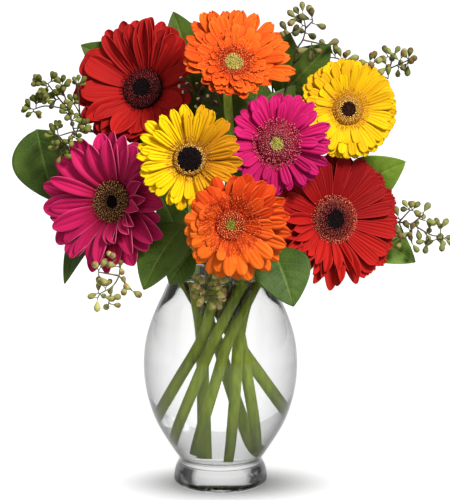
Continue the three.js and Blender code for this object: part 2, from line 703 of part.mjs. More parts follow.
// A seed pod that widens from its thin stalk and is cut flat at its end
function pod(from, direction) {
  const along = direction.clone().normalize();
  const helper = Math.abs(along.z) < 0.9 ? new THREE.Vector3(0, 0, 1) : new THREE.Vector3(1, 0, 0);
  const u = new THREE.Vector3().crossVectors(along, helper).normalize();
  const w = new THREE.Vector3().crossVectors(along, u);
  const outline = [
    [-STALK_RADIUS, STALK_RADIUS], [STALK_LENGTH + POD_LENGTH * 0.5, POD_RADIUS],
    [STALK_LENGTH + POD_LENGTH, POD_RADIUS * 0.6],
  ];
  const rings = outline.map(([distance, radius]) => {
    const ring = [];
    for (let k = 0; k < POD_SIDES; k++) {
      const angle = (2 * Math.PI * k) / POD_SIDES;
      const point = from.clone().addScaledVector(along, distance);
      point.addScaledVector(u, radius * Math.cos(angle));
      point.addScaledVector(w, radius * Math.sin(angle));
      ring.push(point.toArray());
    }
    return ring;
  });
  return skin(rings);
}

function sprayGeometry(piece, seed) {
  const random = seeded(seed);
  const stem = foliagePoints(piece);
  const pieces = [foliageTube(piece, 0)];
  for (const twig of piece.twigs) {
    const points = twig.to.map(vector);
    points[0] = nearestOn(stem, points[0]);
    pieces.push(tube(points, SPRIG_SIDES, () => SPRIG_RADIUS));
    const end = points[points.length - 1];
    const heading = end.clone().sub(points[points.length - 2]).normalize();
    const side = new THREE.Vector3().crossVectors(heading, new THREE.Vector3(0, 1, 0)).normalize();
    const up = new THREE.Vector3().crossVectors(heading, side);
    for (let i = 0; i < twig.pods; i++) {
      const angle = GOLDEN_ANGLE * (i + POD_UNREST * random());
      const spread = i === 0 ? POD_SPREAD.first : POD_SPREAD.least + POD_SPREAD.more * random();
      const direction = heading.clone()
        .addScaledVector(side, spread * Math.cos(angle))
        .addScaledVector(up, spread * Math.sin(angle));
      pieces.push(pod(end.clone().addScaledVector(heading, -POD_SPACING * i), direction));
    }
  }
  return joined(pieces);
}

const arrangement = new THREE.Group();

function place(name, geometry, material, parent = arrangement) {
  const mesh = new THREE.Mesh(geometry, material);
  mesh.name = name;
  parent.add(mesh);
}

const holes = [
  ...BLOOMS.map((bloom) => stemTube(bloom, GAP)),
  ...[...LEAFY_STEMS, ...SPRAYS].map((piece) => foliageTube(piece, GAP)),
];

place('vase', vaseGeometry(), GLASS);
place('water', waterGeometry(holes), WATER);

BLOOMS.forEach((bloom, index) => {
  place(`${bloom.name}_stem`, joined([stemTube(bloom, 0), involucre(bloom)]), STEM);
  const head = new THREE.Group();
  bloomMatrix(bloom).decompose(head.position, head.quaternion, head.scale);
  place(`${bloom.name}_petals`, petalGeometry(bloom, 11 + index), petalColour(bloom.colour), head);
  place(`${bloom.name}_disc`, discGeometry(bloom), petalColour(bloom.disc), head);
  arrangement.add(head);
});

LEAFY_STEMS.forEach((piece) => place(piece.name, leafyStemGeometry(piece), LEAF));
SPRAYS.forEach((piece, index) => place(piece.name, sprayGeometry(piece, 71 + index), POD));

export default arrangement;
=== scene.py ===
# Gerberas in a vase: the looks of the arrangement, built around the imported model.
# Metres, +Z up. The origin is the centre of the vase's flat foot, and -Y is the front.

import math
import random

import bmesh
import bpy
import numpy as np
from mathutils import Matrix, Vector


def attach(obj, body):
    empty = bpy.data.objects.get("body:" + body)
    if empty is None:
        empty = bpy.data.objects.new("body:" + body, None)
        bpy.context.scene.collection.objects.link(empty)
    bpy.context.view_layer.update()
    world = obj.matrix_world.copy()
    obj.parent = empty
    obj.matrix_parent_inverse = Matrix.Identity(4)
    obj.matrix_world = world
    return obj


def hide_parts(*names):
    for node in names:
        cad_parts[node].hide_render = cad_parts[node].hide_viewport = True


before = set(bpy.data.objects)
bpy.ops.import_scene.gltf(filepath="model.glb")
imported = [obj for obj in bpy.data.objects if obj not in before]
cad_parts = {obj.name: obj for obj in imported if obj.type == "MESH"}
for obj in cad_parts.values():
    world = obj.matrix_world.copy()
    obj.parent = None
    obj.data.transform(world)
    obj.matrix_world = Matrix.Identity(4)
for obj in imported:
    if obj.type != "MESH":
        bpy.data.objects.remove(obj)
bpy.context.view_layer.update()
scene = bpy.context.scene
MM = 0.001

# Camera
# It stands 1.4 metres in front of the arrangement and looks down on it a little, as the photograph does.
# The focal length is given in pixels of a picture 450 wide and 500 high.
CAMERA_PLACE = Vector((3.7, -1400, 500)) * MM
CAMERA_DOWN = math.radians(12.3)
FOCAL_PIXELS = 1762
PICTURE_HEIGHT = 500
SENSOR = 36

camera_data = bpy.data.cameras.new("camera")
camera_data.sensor_width = SENSOR
camera_data.lens = SENSOR * FOCAL_PIXELS / PICTURE_HEIGHT
camera = bpy.data.objects.new("camera", camera_data)
camera.location = CAMERA_PLACE
camera.rotation_euler = (math.pi / 2 - CAMERA_DOWN, 0, 0)
scene.collection.objects.link(camera)
scene.camera = camera
scene.view_settings.view_transform = "Standard"


# Studio
# A plain white floor that runs out of sight. It glows evenly as painted light, with a painted shadow in a
# ring round the foot of the vase and painted light again right under the foot. A soft surround with a white
# backdrop is all about it, and a soft box stands high on the right, whose light leaves out the floor.
FLOOR_REACH = 30
FLOOR_HEIGHT = -0.0003
FLOOR_WHITE = (0.86, 0.86, 0.86, 1)
FLOOR_PAINTED_GLOW = 0.68
PAINTED_SHADOW_CENTRE = (0.005, -0.012)
PAINTED_SHADOW_DEPTH = 2.0
PAINTED_SHADOW_TO = 0.024
GLOWING_FROM = 0.106
PAINTED_GLOW_UNDER_FOOT = 0.85
UNDER_FOOT_EDGE = 0.0385
UNDER_FOOT_FULL = 0.0365
SURROUND_LOW = (0.3, 0.3, 0.305, 1)
SURROUND_HIGH = (0.62, 0.62, 0.62, 1)
SURROUND_TOP = 0.8
BACKDROP = (0.92, 0.92, 0.92, 1)
BACKDROP_FROM = 0.72
BACKDROP_FULL = 0.9
SOFT_BOX_PLACE = Vector((1.09, -1.56, 1.99))
SOFT_BOX_AIM = Vector((0, 0, 0.22))
SOFT_BOX_SIZE = 0.6
SOFT_BOX_POWER = 92
WHITE = (1, 1, 1, 1)


def node(tree, kind, values=None, **settings):
    """A new node with its settings, whose inputs are joined to sockets or set to plain values."""
    made = tree.nodes.new(kind)
    for name, setting in settings.items():
        setattr(made, name, setting)
    for socket, value in (values or {}).items():
        if isinstance(value, bpy.types.NodeSocket):
            tree.links.new(value, made.inputs[socket])
        else:
            made.inputs[socket].default_value = value
    return made


def arithmetic(tree, operation, *values):
    """The result of one sum on numbers or sockets."""
    return node(tree, "ShaderNodeMath", dict(enumerate(values)), operation=operation).outputs[0]


def times(tree, first, second):
    return arithmetic(tree, "MULTIPLY", first, second)


def plus(tree, first, second):
    return arithmetic(tree, "ADD", first, second)


def scaled(tree, value, factor, shift):
    """The value times a factor, moved by a shift."""
    return arithmetic(tree, "MULTIPLY_ADD", value, factor, shift)


def mapped(tree, value, low, high, to_low=0.0, to_high=1.0, curve="LINEAR"):
    """The value carried over from one range to another, and held at that one's ends."""
    values = {0: value, 1: low, 2: high, 3: to_low, 4: to_high}
    return node(tree, "ShaderNodeMapRange", values, interpolation_type=curve).outputs[0]


def mixed(tree, share, first, second):
    """A colour that goes from the first one to the second as the share grows."""
    return node(tree, "ShaderNodeMix", {0: share, 6: first, 7: second}, data_type="RGBA").outputs[2]


def vector_from(tree, *parts):
    return node(tree, "ShaderNodeCombineXYZ", dict(enumerate(parts))).outputs[0]


def parts_of(tree, vector):
    return node(tree, "ShaderNodeSeparateXYZ", {0: vector}).outputs


def own_place(tree):
    """Where a point lies in the piece's own frame, in metres."""
    return node(tree, "ShaderNodeTexCoord").outputs["Object"]


def object_from(name, data):
    made = bpy.data.objects.new(name, data)
    scene.collection.objects.link(made)
    return made


def new_material(name, settings):
    """A material whose shader has these plain settings, and its tree and shader for what is joined to it."""
    material = bpy.data.materials.new(name)
    material.use_nodes = True
    shader = material.node_tree.nodes["Principled BSDF"]
    for socket, value in settings.items():
        shader.inputs[socket].default_value = value
    return material, material.node_tree, shader


floor_mesh = bpy.data.meshes.new("floor")
floor_corners = [(x * FLOOR_REACH, y * FLOOR_REACH, FLOOR_HEIGHT)
                 for x, y in ((-1, -1), (1, -1), (1, 1), (-1, 1))]
floor_mesh.from_pydata(floor_corners, [], [(0, 1, 2, 3)])
floor_material, tree, shader = new_material("floor_white", {
    "Base Color": FLOOR_WHITE, "Roughness": 0.7, "Emission Color": WHITE,
})
# The glow is painted light, which fades to a painted shadow in a ring round the foot and returns under it.
painted_shadow_place = node(tree, "ShaderNodeMapping", {
    0: own_place(tree), 1: (-PAINTED_SHADOW_CENTRE[0], -PAINTED_SHADOW_CENTRE[1] * PAINTED_SHADOW_DEPTH, 0), 3: (1, PAINTED_SHADOW_DEPTH, 1),
}).outputs[0]
from_foot, from_painted_shadow = [node(tree, "ShaderNodeVectorMath", {0: place}, operation="LENGTH").outputs["Value"]
                         for place in (own_place(tree), painted_shadow_place)]
glow_with_painted_shadow = mapped(tree, from_painted_shadow, PAINTED_SHADOW_TO, GLOWING_FROM, 0.0, FLOOR_PAINTED_GLOW, "SMOOTHSTEP")
painted_glow_under_foot = mapped(tree, from_foot, UNDER_FOOT_EDGE, UNDER_FOOT_FULL, 0.0, PAINTED_GLOW_UNDER_FOOT, "SMOOTHSTEP")
tree.links.new(arithmetic(tree, "MAXIMUM", glow_with_painted_shadow, painted_glow_under_foot), shader.inputs["Emission Strength"])
floor_mesh.materials.append(floor_material)
floor = object_from("floor", floor_mesh)

world = bpy.data.worlds.new("studio")
world.use_nodes = True
tree = world.node_tree
tree.nodes.clear()
direction = parts_of(tree, node(tree, "ShaderNodeTexCoord").outputs["Generated"])
upward = mapped(tree, direction[2], 0.0, SURROUND_TOP)
backward = mapped(tree, direction[1], BACKDROP_FROM, BACKDROP_FULL)
surround = mixed(tree, backward, mixed(tree, upward, SURROUND_LOW, SURROUND_HIGH), BACKDROP)
background = node(tree, "ShaderNodeBackground", {0: surround, 1: 1.0}).outputs[0]
node(tree, "ShaderNodeOutputWorld", {0: background})
scene.world = world

soft_box_data = bpy.data.lights.new("soft_box_right", "AREA")
soft_box_data.shape = "SQUARE"
soft_box_data.size = SOFT_BOX_SIZE
soft_box_data.energy = SOFT_BOX_POWER
soft_box = object_from("soft_box_right", soft_box_data)
soft_box.location = SOFT_BOX_PLACE
soft_box.rotation_euler = (SOFT_BOX_AIM - SOFT_BOX_PLACE).to_track_quat("-Z", "Y").to_euler()


def keep_off(light, piece):
    """The light of this source doesn't reach the piece."""
    if light.light_linking.receiver_collection is None:
        light.light_linking.receiver_collection = bpy.data.collections.new("not_lit_by_" + light.name)
    not_lit = light.light_linking.receiver_collection
    not_lit.objects.link(piece)
    not_lit.collection_objects[-1].light_linking.link_state = "EXCLUDE"


keep_off(soft_box, floor)


# Vase
# One body of clear blown glass: a thick solid foot, a narrow waist, an egg-shaped belly and a drawn-in neck
# with a flared rim. It stands on its foot by itself, and it is polished all over.
VASE_WALL = 3 * MM
VASE_SIDES = 128
VASE_OUTLINE = [(34.2, 19.5), (41.5, 30.5), (54.5, 53.7), (61.8, 79), (63.5, 102), (60.9, 123),
                (54.3, 142.8), (45.6, 162), (39.8, 178), (43, 190.5)]
VASE_FOOT = [(0, 0.9), (24, 0.7), (31, 0.2), (33.5, 0), (37.2, 0), (38.3, 0.3), (38.8, 0.9), (38.9, 2),
             (38.8, 4), (38.2, 8), (37.2, 11.5), (35.6, 15)]
VASE_FLOOR = 23 * MM
FLOOR_ROUNDING = 6 * MM
GLASS = {"Roughness": 0.0, "IOR": 1.5, "Transmission Weight": 1.0, "Specular Tint": (0.32, 0.32, 0.32, 1)}
# The glass's colour darkens towards its edges as painted shade, strongest below the neck.
GLASS_CLEAR = (0.945, 0.95, 0.945, 1)
GLASS_PAINTED_EDGE_SHADE = (0.05, 0.055, 0.05, 1)
GLASS_PAINTED_SHADE = (0, 0, 0, 1)
PAINTED_EDGE_GROWTH = 1.15
PAINTED_EDGE_STRENGTH = 1.35
NECK_PAINTED_EDGE_STRENGTH = 0.3
NECK_FROM = 140 * MM
NECK_FULL = 164 * MM
# In the foot, broken bands at middling slants are painted reflections, over a little painted shade.
FOOT_TOP = 19 * MM
FOOT_FADE = 3 * MM
FOOT_PAINTED_REFLECTION = 0.97
FOOT_PAINTED_GREY = 0.14
PAINTED_REFLECTION_BAND_STARTS = (0.12, 0.22)
PAINTED_REFLECTION_BAND_ENDS = (0.75, 0.55)
PAINTED_REFLECTION_RIPPLES = 120.0


def smooth_path(points, steps):
    """A curve through all the points, with a number of steps between each two of them."""
    points = [Vector(point) for point in points]
    ends = [points[0] * 2 - points[1], *points, points[-1] * 2 - points[-2]]
    path = []
    for before, here, there, after in zip(ends, ends[1:], ends[2:], ends[3:]):
        first, middle, last = [math.sqrt(max((b - a).length, 1e-6))
                               for a, b in ((before, here), (here, there), (there, after))]
        slope = (there - here) / middle
        leave = ((here - before) / first - (there - before) / (first + middle) + slope) * middle
        reach = (slope - (after - here) / (middle + last) + (after - there) / last) * middle
        for step in range(steps):
            share = step / steps
            path.append(here + leave * share
                        + (there * 3 - here * 3 - leave * 2 - reach) * share ** 2
                        + (here * 2 - there * 2 + leave + reach) * share ** 3)
    return [*path, points[-1]]


def turned_mesh(name, outline, sides):
    """A closed body turned about the Z axis. Its outline of (radius, height) starts and ends on the axis."""
    inner = outline[1:-1]
    points = [(0, 0, outline[0][1]), (0, 0, outline[-1][1])]
    for radius, height in inner:
        for side in range(sides):
            angle = 2 * math.pi * side / sides
            points.append((radius * math.cos(angle), radius * math.sin(angle), height))
    faces = []
    top = 2 + (len(inner) - 1) * sides
    for side in range(sides):
        beside = (side + 1) % sides
        faces.append((0, 2 + beside, 2 + side))
        faces.append((1, top + side, top + beside))
        for row in range(len(inner) - 1):
            low = 2 + row * sides
            faces.append((low + side, low + beside, low + sides + beside, low + sides + side))
    mesh = bpy.data.meshes.new(name)
    mesh.from_pydata(points, [], faces)
    mesh.polygons.foreach_set("use_smooth", [True] * len(mesh.polygons))
    return mesh


def noise(tree, place, scale, detail, roughness=0.5):
    """Soft random patches between 0 and 1."""
    values = {"Vector": place, "Scale": scale, "Detail": detail, "Roughness": roughness}
    return node(tree, "ShaderNodeTexNoise", values).outputs[0]


def stand_for(piece, slot, *cad_nodes):
    """The piece rides on the one body and stands for its plain solids, which are hidden. The slot is not
    used.
    """
    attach(piece, "root")
    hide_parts(*cad_nodes)


vase_wall = [(point.x * MM, point.y * MM) for point in smooth_path([(r, z, 0) for r, z in VASE_OUTLINE], 6)]
vase_inside = [(r - VASE_WALL, z) for r, z in vase_wall if z > VASE_FLOOR + FLOOR_ROUNDING]
rim_radius, rim_height = vase_wall[-1]
rim_round = [
    (rim_radius - 0.5 * VASE_WALL * (1 - math.cos(turn)), rim_height + 0.5 * VASE_WALL * math.sin(turn))
    for turn in (math.radians(step) for step in range(30, 180, 30))
]
floor_edge = vase_inside[0][0]
vase_floor = [(floor_edge - 2.2 * MM, VASE_FLOOR + 4 * MM), (floor_edge - 5 * MM, VASE_FLOOR + 1.4 * MM),
              (floor_edge - 10 * MM, VASE_FLOOR + 0.2 * MM), (0, VASE_FLOOR)]
vase_foot = [(r * MM, z * MM) for r, z in VASE_FOOT]
vase_outline = vase_foot + vase_wall + rim_round + vase_inside[::-1] + vase_floor
vase = object_from("glass_vase", turned_mesh("glass_vase", vase_outline, VASE_SIDES))
for face in vase.data.polygons:
    outward = face.normal.xy.dot(face.center.xy)
    on_floor = face.normal.z > 0.5 and face.center.z < vase_inside[0][1]
    underneath = face.normal.z < -0.9 and face.center.z < 1.2 * MM
    face.material_index = 1 if outward < 0 or on_floor or underneath else 0
glass, tree, shader = new_material("clear_glass", GLASS)
place = own_place(tree)
height = parts_of(tree, place)[2]
# Towards the glass's edges its colour darkens as painted shade.
slant = node(tree, "ShaderNodeLayerWeight", {"Blend": 0.5}).outputs["Facing"]
strength = mapped(tree, height, NECK_FULL, NECK_FROM, NECK_PAINTED_EDGE_STRENGTH, PAINTED_EDGE_STRENGTH)
edge = times(tree, arithmetic(tree, "POWER", slant, PAINTED_EDGE_GROWTH), strength)
body_colour = mixed(tree, edge, GLASS_CLEAR, GLASS_PAINTED_EDGE_SHADE)
# In the foot, bands broken by noise are darkened as painted reflections, and the whole foot gets a little
# painted shade.
in_foot = mapped(tree, height, FOOT_TOP, FOOT_TOP - FOOT_FADE)
painted_reflection_band = times(tree, mapped(tree, slant, *PAINTED_REFLECTION_BAND_STARTS), mapped(tree, slant, *PAINTED_REFLECTION_BAND_ENDS))
painted_reflection_breaks = mapped(tree, noise(tree, place, PAINTED_REFLECTION_RIPPLES, 2), 0.4, 0.5, 0.6, 1.0)
foot_painted_shade = times(tree, times(tree, painted_reflection_band, times(tree, in_foot, painted_reflection_breaks)), FOOT_PAINTED_REFLECTION)
foot_painted_shade = arithmetic(tree, "MAXIMUM", foot_painted_shade, times(tree, in_foot, FOOT_PAINTED_GREY))
tree.links.new(mixed(tree, foot_painted_shade, body_colour, GLASS_PAINTED_SHADE), shader.inputs["Base Color"])
inner_glass = new_material("clear_glass_inside", {**GLASS, "Base Color": WHITE})[0]
for finish in (glass, inner_glass):
    vase.data.materials.append(finish)
stand_for(vase, "clear_glass", "vase")


# Water
# Still clear water, which fills the vase to a little below the neck. It wets the glass, climbs it a little
# at its edge, and the stems stand in it.
WATER_LEVEL = 174 * MM
WATER_WETS = 0.2 * MM
WATER = {"Base Color": WHITE, "Roughness": 0.0, "IOR": 1.33, "Transmission Weight": 1.0,
         "Specular Tint": (0.1, 0.1, 0.1, 1)}

water_side = [(r + WATER_WETS, z) for r, z in vase_inside if z < WATER_LEVEL - 3 * MM]
water_floor = [(0, VASE_FLOOR - WATER_WETS)] + [
    (r + WATER_WETS, z - WATER_WETS) for r, z in vase_floor[-2::-1]
]
edge_radius = np.interp(WATER_LEVEL, [z for r, z in vase_inside], [r for r, z in vase_inside]) + WATER_WETS
meniscus = [(0.3, -0.4), (0, 1.2), (-1, 0.6), (-2.6, 0.1), (-5, 0)]
water_edge = [(edge_radius + out * MM, WATER_LEVEL + up * MM) for out, up in meniscus]
water_outline = [*water_floor, *water_side, *water_edge, (0, WATER_LEVEL)]
water = object_from("still_water", turned_mesh("still_water", water_outline, VASE_SIDES))
water.data.materials.append(new_material("clear_water", WATER)[0])
stand_for(water, "water", "water")


# Gerbera stems
# Eight leafless round stems, green and finely haired, each ending in a cup of pointed green bracts that
# holds the bloom. They cross where the bundle is narrowest and end near the inside of the glass.
# Petals toward one side of each bloom get painted shade; the side is an angle in degrees, with a strength.
BLOOMS = {
    "red_gerbera_left": {
        "head": (-62.5, 12, 325), "yaw": -17, "pitch": 24, "reach": 50, "disc": 16.5, "cup": 17,
        "painted_shade_side": 120, "deepness": 0.1, "longest": 118, "stretch": 0.17,
        "foot": (45, 8), "waist": 65, "lean": 0.44, "via": [(-31, 26, 205), (-52, 33, 268)],
    },
    "orange_gerbera_top": {
        "head": (10.5, -41, 351.5), "yaw": 11, "pitch": 36, "reach": 43, "disc": 11, "cup": 15,
        "painted_shade_side": 215, "deepness": 0.15, "longest": 10, "stretch": 0.01,
        "foot": (27, -22), "waist": 25, "lean": 0.46, "via": [(4, 30, 205), (8, 6, 280)],
    },
    "yellow_gerbera_right": {
        "head": (101, -15, 312), "yaw": 9, "pitch": 9, "reach": 39.5, "disc": 13, "cup": 11,
        "unrest": 0.5, "painted_shade_side": 100, "deepness": 0.1, "longest": 90, "stretch": 0,
        "foot": (6, -30), "waist": -20, "lean": 0.44, "via": [(28, 24, 203), (66, 26, 255)],
    },
    "magenta_gerbera_right": {
        "head": (44, -45, 289), "yaw": 7, "pitch": 9, "reach": 40.5, "disc": 15.5, "cup": 12,
        "painted_shade_side": -60, "deepness": 0.2, "longest": 0, "stretch": 0.06,
        "foot": (-35, -16), "waist": -110, "lean": 0.42, "via": [(24, -23, 205)],
    },
    "yellow_gerbera_left": {
        "head": (-23, -76, 282), "yaw": 0, "pitch": 12, "reach": 39.8, "disc": 13.5, "cup": 13,
        "painted_shade_side": 0, "deepness": 0.9, "longest": 115, "stretch": 0.05,
        "foot": (-8, 20), "waist": -200, "lean": 0.4, "via": [(-21, -26, 205)],
    },
    "magenta_gerbera_left": {
        "head": (-86, -28, 240), "yaw": -31, "pitch": 11, "reach": 57, "disc": 16.5, "cup": 14,
        "painted_shade_side": -20, "deepness": 0.1, "longest": 180, "stretch": 0.08,
        "foot": (19, 24), "waist": 110, "lean": 0.44, "via": [(-34, -2, 198), (-51, 0, 210)],
    },
    "orange_gerbera_low": {
        "head": (8, -95, 235), "yaw": 9, "pitch": 1, "reach": 40.5, "disc": 12, "cup": 13,
        "painted_shade_side": 70, "deepness": 0.6, "longest": -31, "stretch": 0.13,
        "foot": (-45, 0), "waist": -155, "lean": 0.42, "via": [(2, -34, 198), (4, -48, 214)],
    },
    "red_gerbera_right": {
        "head": (90.5, -20, 224), "yaw": 23, "pitch": 11, "reach": 53.5, "disc": 17, "cup": 8,
        "unrest": 0.7, "painted_shade_side": 80, "deepness": 0.6, "longest": 0, "stretch": 0.05,
        "foot": (-20, -28), "waist": -65, "lean": 0.46, "via": [(34, 1, 196), (52, 3, 206)],
    },
}
STEM_RADIUS = 3.6
STEM_CLEARANCE = 1.2
BUNDLE_RADIUS = 12.6
BUNDLE_HEIGHT = 121
STRAIGHT_TOP = 152
NECK_HEIGHT = 178
HUB_HEIGHT = 6.5
CUP_HEIGHT = 9
STEM_SIDES = 20
STEM_GREEN = (0.165, 0.235, 0.011, 1)
STEM_PALE = (0.4, 0.53, 0.035, 1)
STEM_TAPER = (1.06, 0.12)
STEM_STREAKS = (420, 420, 34)
STEM_PATCHES = 26.0
CUP_SIDES = 32
BRACT_RINGS = [{"radius": 0.3, "drop": 15.5, "lift": 22, "length": 0.62},
               {"radius": 0.5, "drop": 13.4, "lift": 32, "length": 0.5}]
BRACT_COUNT = 17
BRACT_UNREST = 0.8
BRACT_WIDTH = 3.4 * MM
BRACT_THICKNESS = 0.5 * MM


def bundle_point(waist, lean, height, radius=BUNDLE_RADIUS):
    """Where a stem's straight line passes a height. The lines of the twist never meet each other."""
    angle = math.radians(waist)
    out = lean * (height - BUNDLE_HEIGHT)
    return Vector((radius * math.cos(angle) - out * math.sin(angle),
                   radius * math.sin(angle) + out * math.cos(angle), height))


def stem_foot(x, y):
    """Where a stem stands: on the floor of the vase, or on its wall where the floor doesn't reach so far."""
    height = VASE_FLOOR / MM + STEM_RADIUS
    heights = [z / MM for r, z in vase_wall]
    inside = [(r - VASE_WALL) / MM for r, z in vase_wall]
    while math.hypot(x, y) + STEM_RADIUS + STEM_CLEARANCE > np.interp(height, heights, inside):
        height += 0.5
    return Vector((x, y, height))


def bloom_matrix(bloom):
    """From the bloom's own frame, where it faces +Z, to its place in the arrangement."""
    yaw = Matrix.Rotation(math.radians(bloom["yaw"]), 4, "Z")
    pitch = Matrix.Rotation(math.radians(90 - bloom["pitch"]), 4, "X")
    return Matrix.Translation(Vector(bloom["head"]) * MM) @ (yaw @ pitch)


def new_tree(name, numbers="", **inputs):
    """An empty Geometry Nodes tree with inputs for plain numbers and for other kinds, and those inputs."""
    tree = bpy.data.node_groups.new(name, "GeometryNodeTree")
    kinds = {"Geometry": "Geometry", **dict.fromkeys(numbers.split(), "Float"), **inputs}
    for label, kind in kinds.items():
        tree.interface.new_socket(name=label, in_out="INPUT", socket_type="NodeSocket" + kind)
    tree.interface.new_socket(name="Geometry", in_out="OUTPUT", socket_type="NodeSocketGeometry")
    return tree, node(tree, "NodeGroupInput").outputs


def finish_tree(tree, geometry, material):
    """Ends a tree: instances become real, faces are smooth and the material is set."""
    real = node(tree, "GeometryNodeRealizeInstances", {"Geometry": geometry}).outputs[0]
    soft = node(tree, "GeometryNodeSetShadeSmooth", {"Geometry": real}).outputs[0]
    dressed = node(tree, "GeometryNodeSetMaterial", {"Geometry": soft, "Material": material}).outputs[0]
    node(tree, "NodeGroupOutput", {0: dressed})


def applied(holder):
    """The plain mesh that an object's modifiers make of it. The object itself is removed."""
    bpy.context.view_layer.update()
    mesh = bpy.data.meshes.new_from_object(holder.evaluated_get(bpy.context.evaluated_depsgraph_get()))
    bpy.data.objects.remove(holder)
    return mesh


def grown_mesh(name, tree, start=None, **inputs):
    """The plain mesh that a tree grows from a starting mesh and its named inputs."""
    holder = object_from(name, start or bpy.data.meshes.new(name))
    modifier = holder.modifiers.new("grow", "NODES")
    modifier.node_group = tree
    for socket in tree.interface.items_tree:
        if socket.in_out == "INPUT" and socket.name in inputs:
            modifier[socket.identifier] = inputs[socket.name]
    return applied(holder)


def thickened(mesh, thickness):
    """The mesh with a thickness, as a closed body."""
    holder = object_from("thickened", mesh)
    solid = holder.modifiers.new("thickness", "SOLIDIFY")
    solid.thickness = thickness
    solid.offset = 0
    return applied(holder)


def one_piece(name, meshes, matrix=None):
    """One object made of several meshes, which keep their materials and attributes, moved into place."""
    pieces = [object_from(name, mesh) for mesh in meshes]
    chosen = {"active_object": pieces[0], "selected_editable_objects": pieces, "selected_objects": pieces}
    with bpy.context.temp_override(**chosen):
        bpy.ops.object.join()
    if matrix is not None:
        pieces[0].data.transform(matrix)
    return pieces[0]


def tapered(points, radius, at_root=1.0, shrink=0.0):
    """A path of (place, radius) through points in millimetres, which thins from its root to its end."""
    return [(point * MM, radius * MM * (at_root - shrink * step / len(points)))
            for step, point in enumerate(points)]


def path_mesh(name, paths):
    """Edges along each path of (point, radius), which the stem tree turns into round stems."""
    points, edges, radii = [], [], []
    for path in paths:
        start = len(points)
        points += [tuple(point) for point, radius in path]
        radii += [radius for point, radius in path]
        edges += [(start + step, start + step + 1) for step in range(len(path) - 1)]
    mesh = bpy.data.meshes.new(name)
    mesh.from_pydata(points, edges, [])
    mesh.attributes.new("thick", "FLOAT", "POINT").data.foreach_set("value", radii)
    return mesh


stem_tree, stem = new_tree("stems_along_paths", Sides="Int", Material="Material")
curves = node(stem_tree, "GeometryNodeMeshToCurve", {0: stem["Geometry"]}).outputs[0]
thick = node(stem_tree, "GeometryNodeInputNamedAttribute", {0: "thick"}, data_type="FLOAT").outputs[0]
profile = node(stem_tree, "GeometryNodeCurvePrimitiveCircle", {"Resolution": stem["Sides"], "Radius": 1.0})
skin = node(stem_tree, "GeometryNodeCurveToMesh", {
    "Curve": curves, "Profile Curve": profile.outputs[0], "Scale": thick, "Fill Caps": True,
}).outputs[0]
finish_tree(stem_tree, skin, stem["Material"])


def painted(tree, shader, colour, relief=None, strength=0.0, depth=0.0):
    """Joins a colour to the shader, and a fine relief where there is one."""
    tree.links.new(colour, shader.inputs["Base Color"])
    if relief is not None:
        bump = node(tree, "ShaderNodeBump", {"Strength": strength, "Distance": depth, "Height": relief})
        tree.links.new(bump.outputs[0], shader.inputs["Normal"])


stem_material, tree, shader = new_material("gerbera_stem_green", {
    "Roughness": 0.5, "Sheen Weight": 0.08, "Sheen Roughness": 0.5, "Specular IOR Level": 0.3,
})
stretched = node(tree, "ShaderNodeMapping", {0: own_place(tree), 3: STEM_STREAKS}).outputs[0]
streaks = noise(tree, stretched, 1.0, 3)
blend = times(tree, plus(tree, streaks, noise(tree, own_place(tree), STEM_PATCHES, 2)), 0.5)
green = mixed(tree, mapped(tree, blend, 0.35, 0.65), STEM_GREEN, STEM_PALE)
painted(tree, shader, green, streaks, strength=0.25, depth=0.0004)


def chance(tree, low, high, seed, shift, whole=False):
    """A random number for each point, which the seed and the shift settle."""
    first = 4 if whole else 2
    values = {first: low, first + 1: high, 8: plus(tree, seed, shift)}
    made = node(tree, "FunctionNodeRandomValue", values, data_type="INT" if whole else "FLOAT")
    return made.outputs[2 if whole else 1]


def spread(tree, amount, seed, shift):
    """A random number between minus the amount and the amount."""
    return times(tree, chance(tree, -1.0, 1.0, seed, shift), amount)


def round_points(tree, count, radius, angle, height):
    """Points about the Z axis, each at its own radius, angle and height."""
    place = vector_from(tree, times(tree, radius, arithmetic(tree, "COSINE", angle)),
                        times(tree, radius, arithmetic(tree, "SINE", angle)), height)
    return node(tree, "GeometryNodePoints", {0: count, 1: place}).outputs[0]


def kept_value(tree, geometry, name, value, domain="POINT"):
    """The geometry with a named value on each point or instance, for the material to read."""
    values = {"Geometry": geometry, "Name": name, "Value": value}
    return node(tree, "GeometryNodeStoreNamedAttribute", values, data_type="FLOAT", domain=domain).outputs[0]


def planted(tree, points, pieces, turn, size, seed, shift):
    """One of a collection's pieces on each point, picked at random, turned and sized."""
    pieces = node(tree, "GeometryNodeCollectionInfo", {0: pieces, 1: True, 2: True}).outputs[0]
    return node(tree, "GeometryNodeInstanceOnPoints", {
        "Points": points, "Instance": pieces, "Pick Instance": True,
        "Instance Index": chance(tree, 0, 50, seed, shift, whole=True), "Rotation": turn, "Scale": size,
    }).outputs[0]


# A ring of blades leaves the hub of a bloom: bracts behind, petals in front. One tree makes every such ring.
# At an unrest of 1, a blade strays at most so far in angle, length, width, lift and roll.
STRAY_ANGLE = 0.1
STRAY_LENGTH = 0.07
STRAY_WIDTH = 0.16
STRAY_LIFT = 0.1
STRAY_ROLL = 0.3

ring_tree, ring = new_tree(
    "ring_of_blades", "Radius Length Width Drop Lift Unrest Start Arc Longest Stretch DeepSide Deepness",
    Blades="Collection", Count="Int", Seed="Int", Material="Material")


def straying(amount, shift):
    """How far a blade strays from the order of its ring."""
    return spread(ring_tree, times(ring_tree, ring["Unrest"], amount), ring["Seed"], shift)


def toward(side):
    """1 for a blade that lies to this side, and -1 for one that lies opposite."""
    return arithmetic(ring_tree, "COSINE", arithmetic(ring_tree, "SUBTRACT", ring_angle, side))


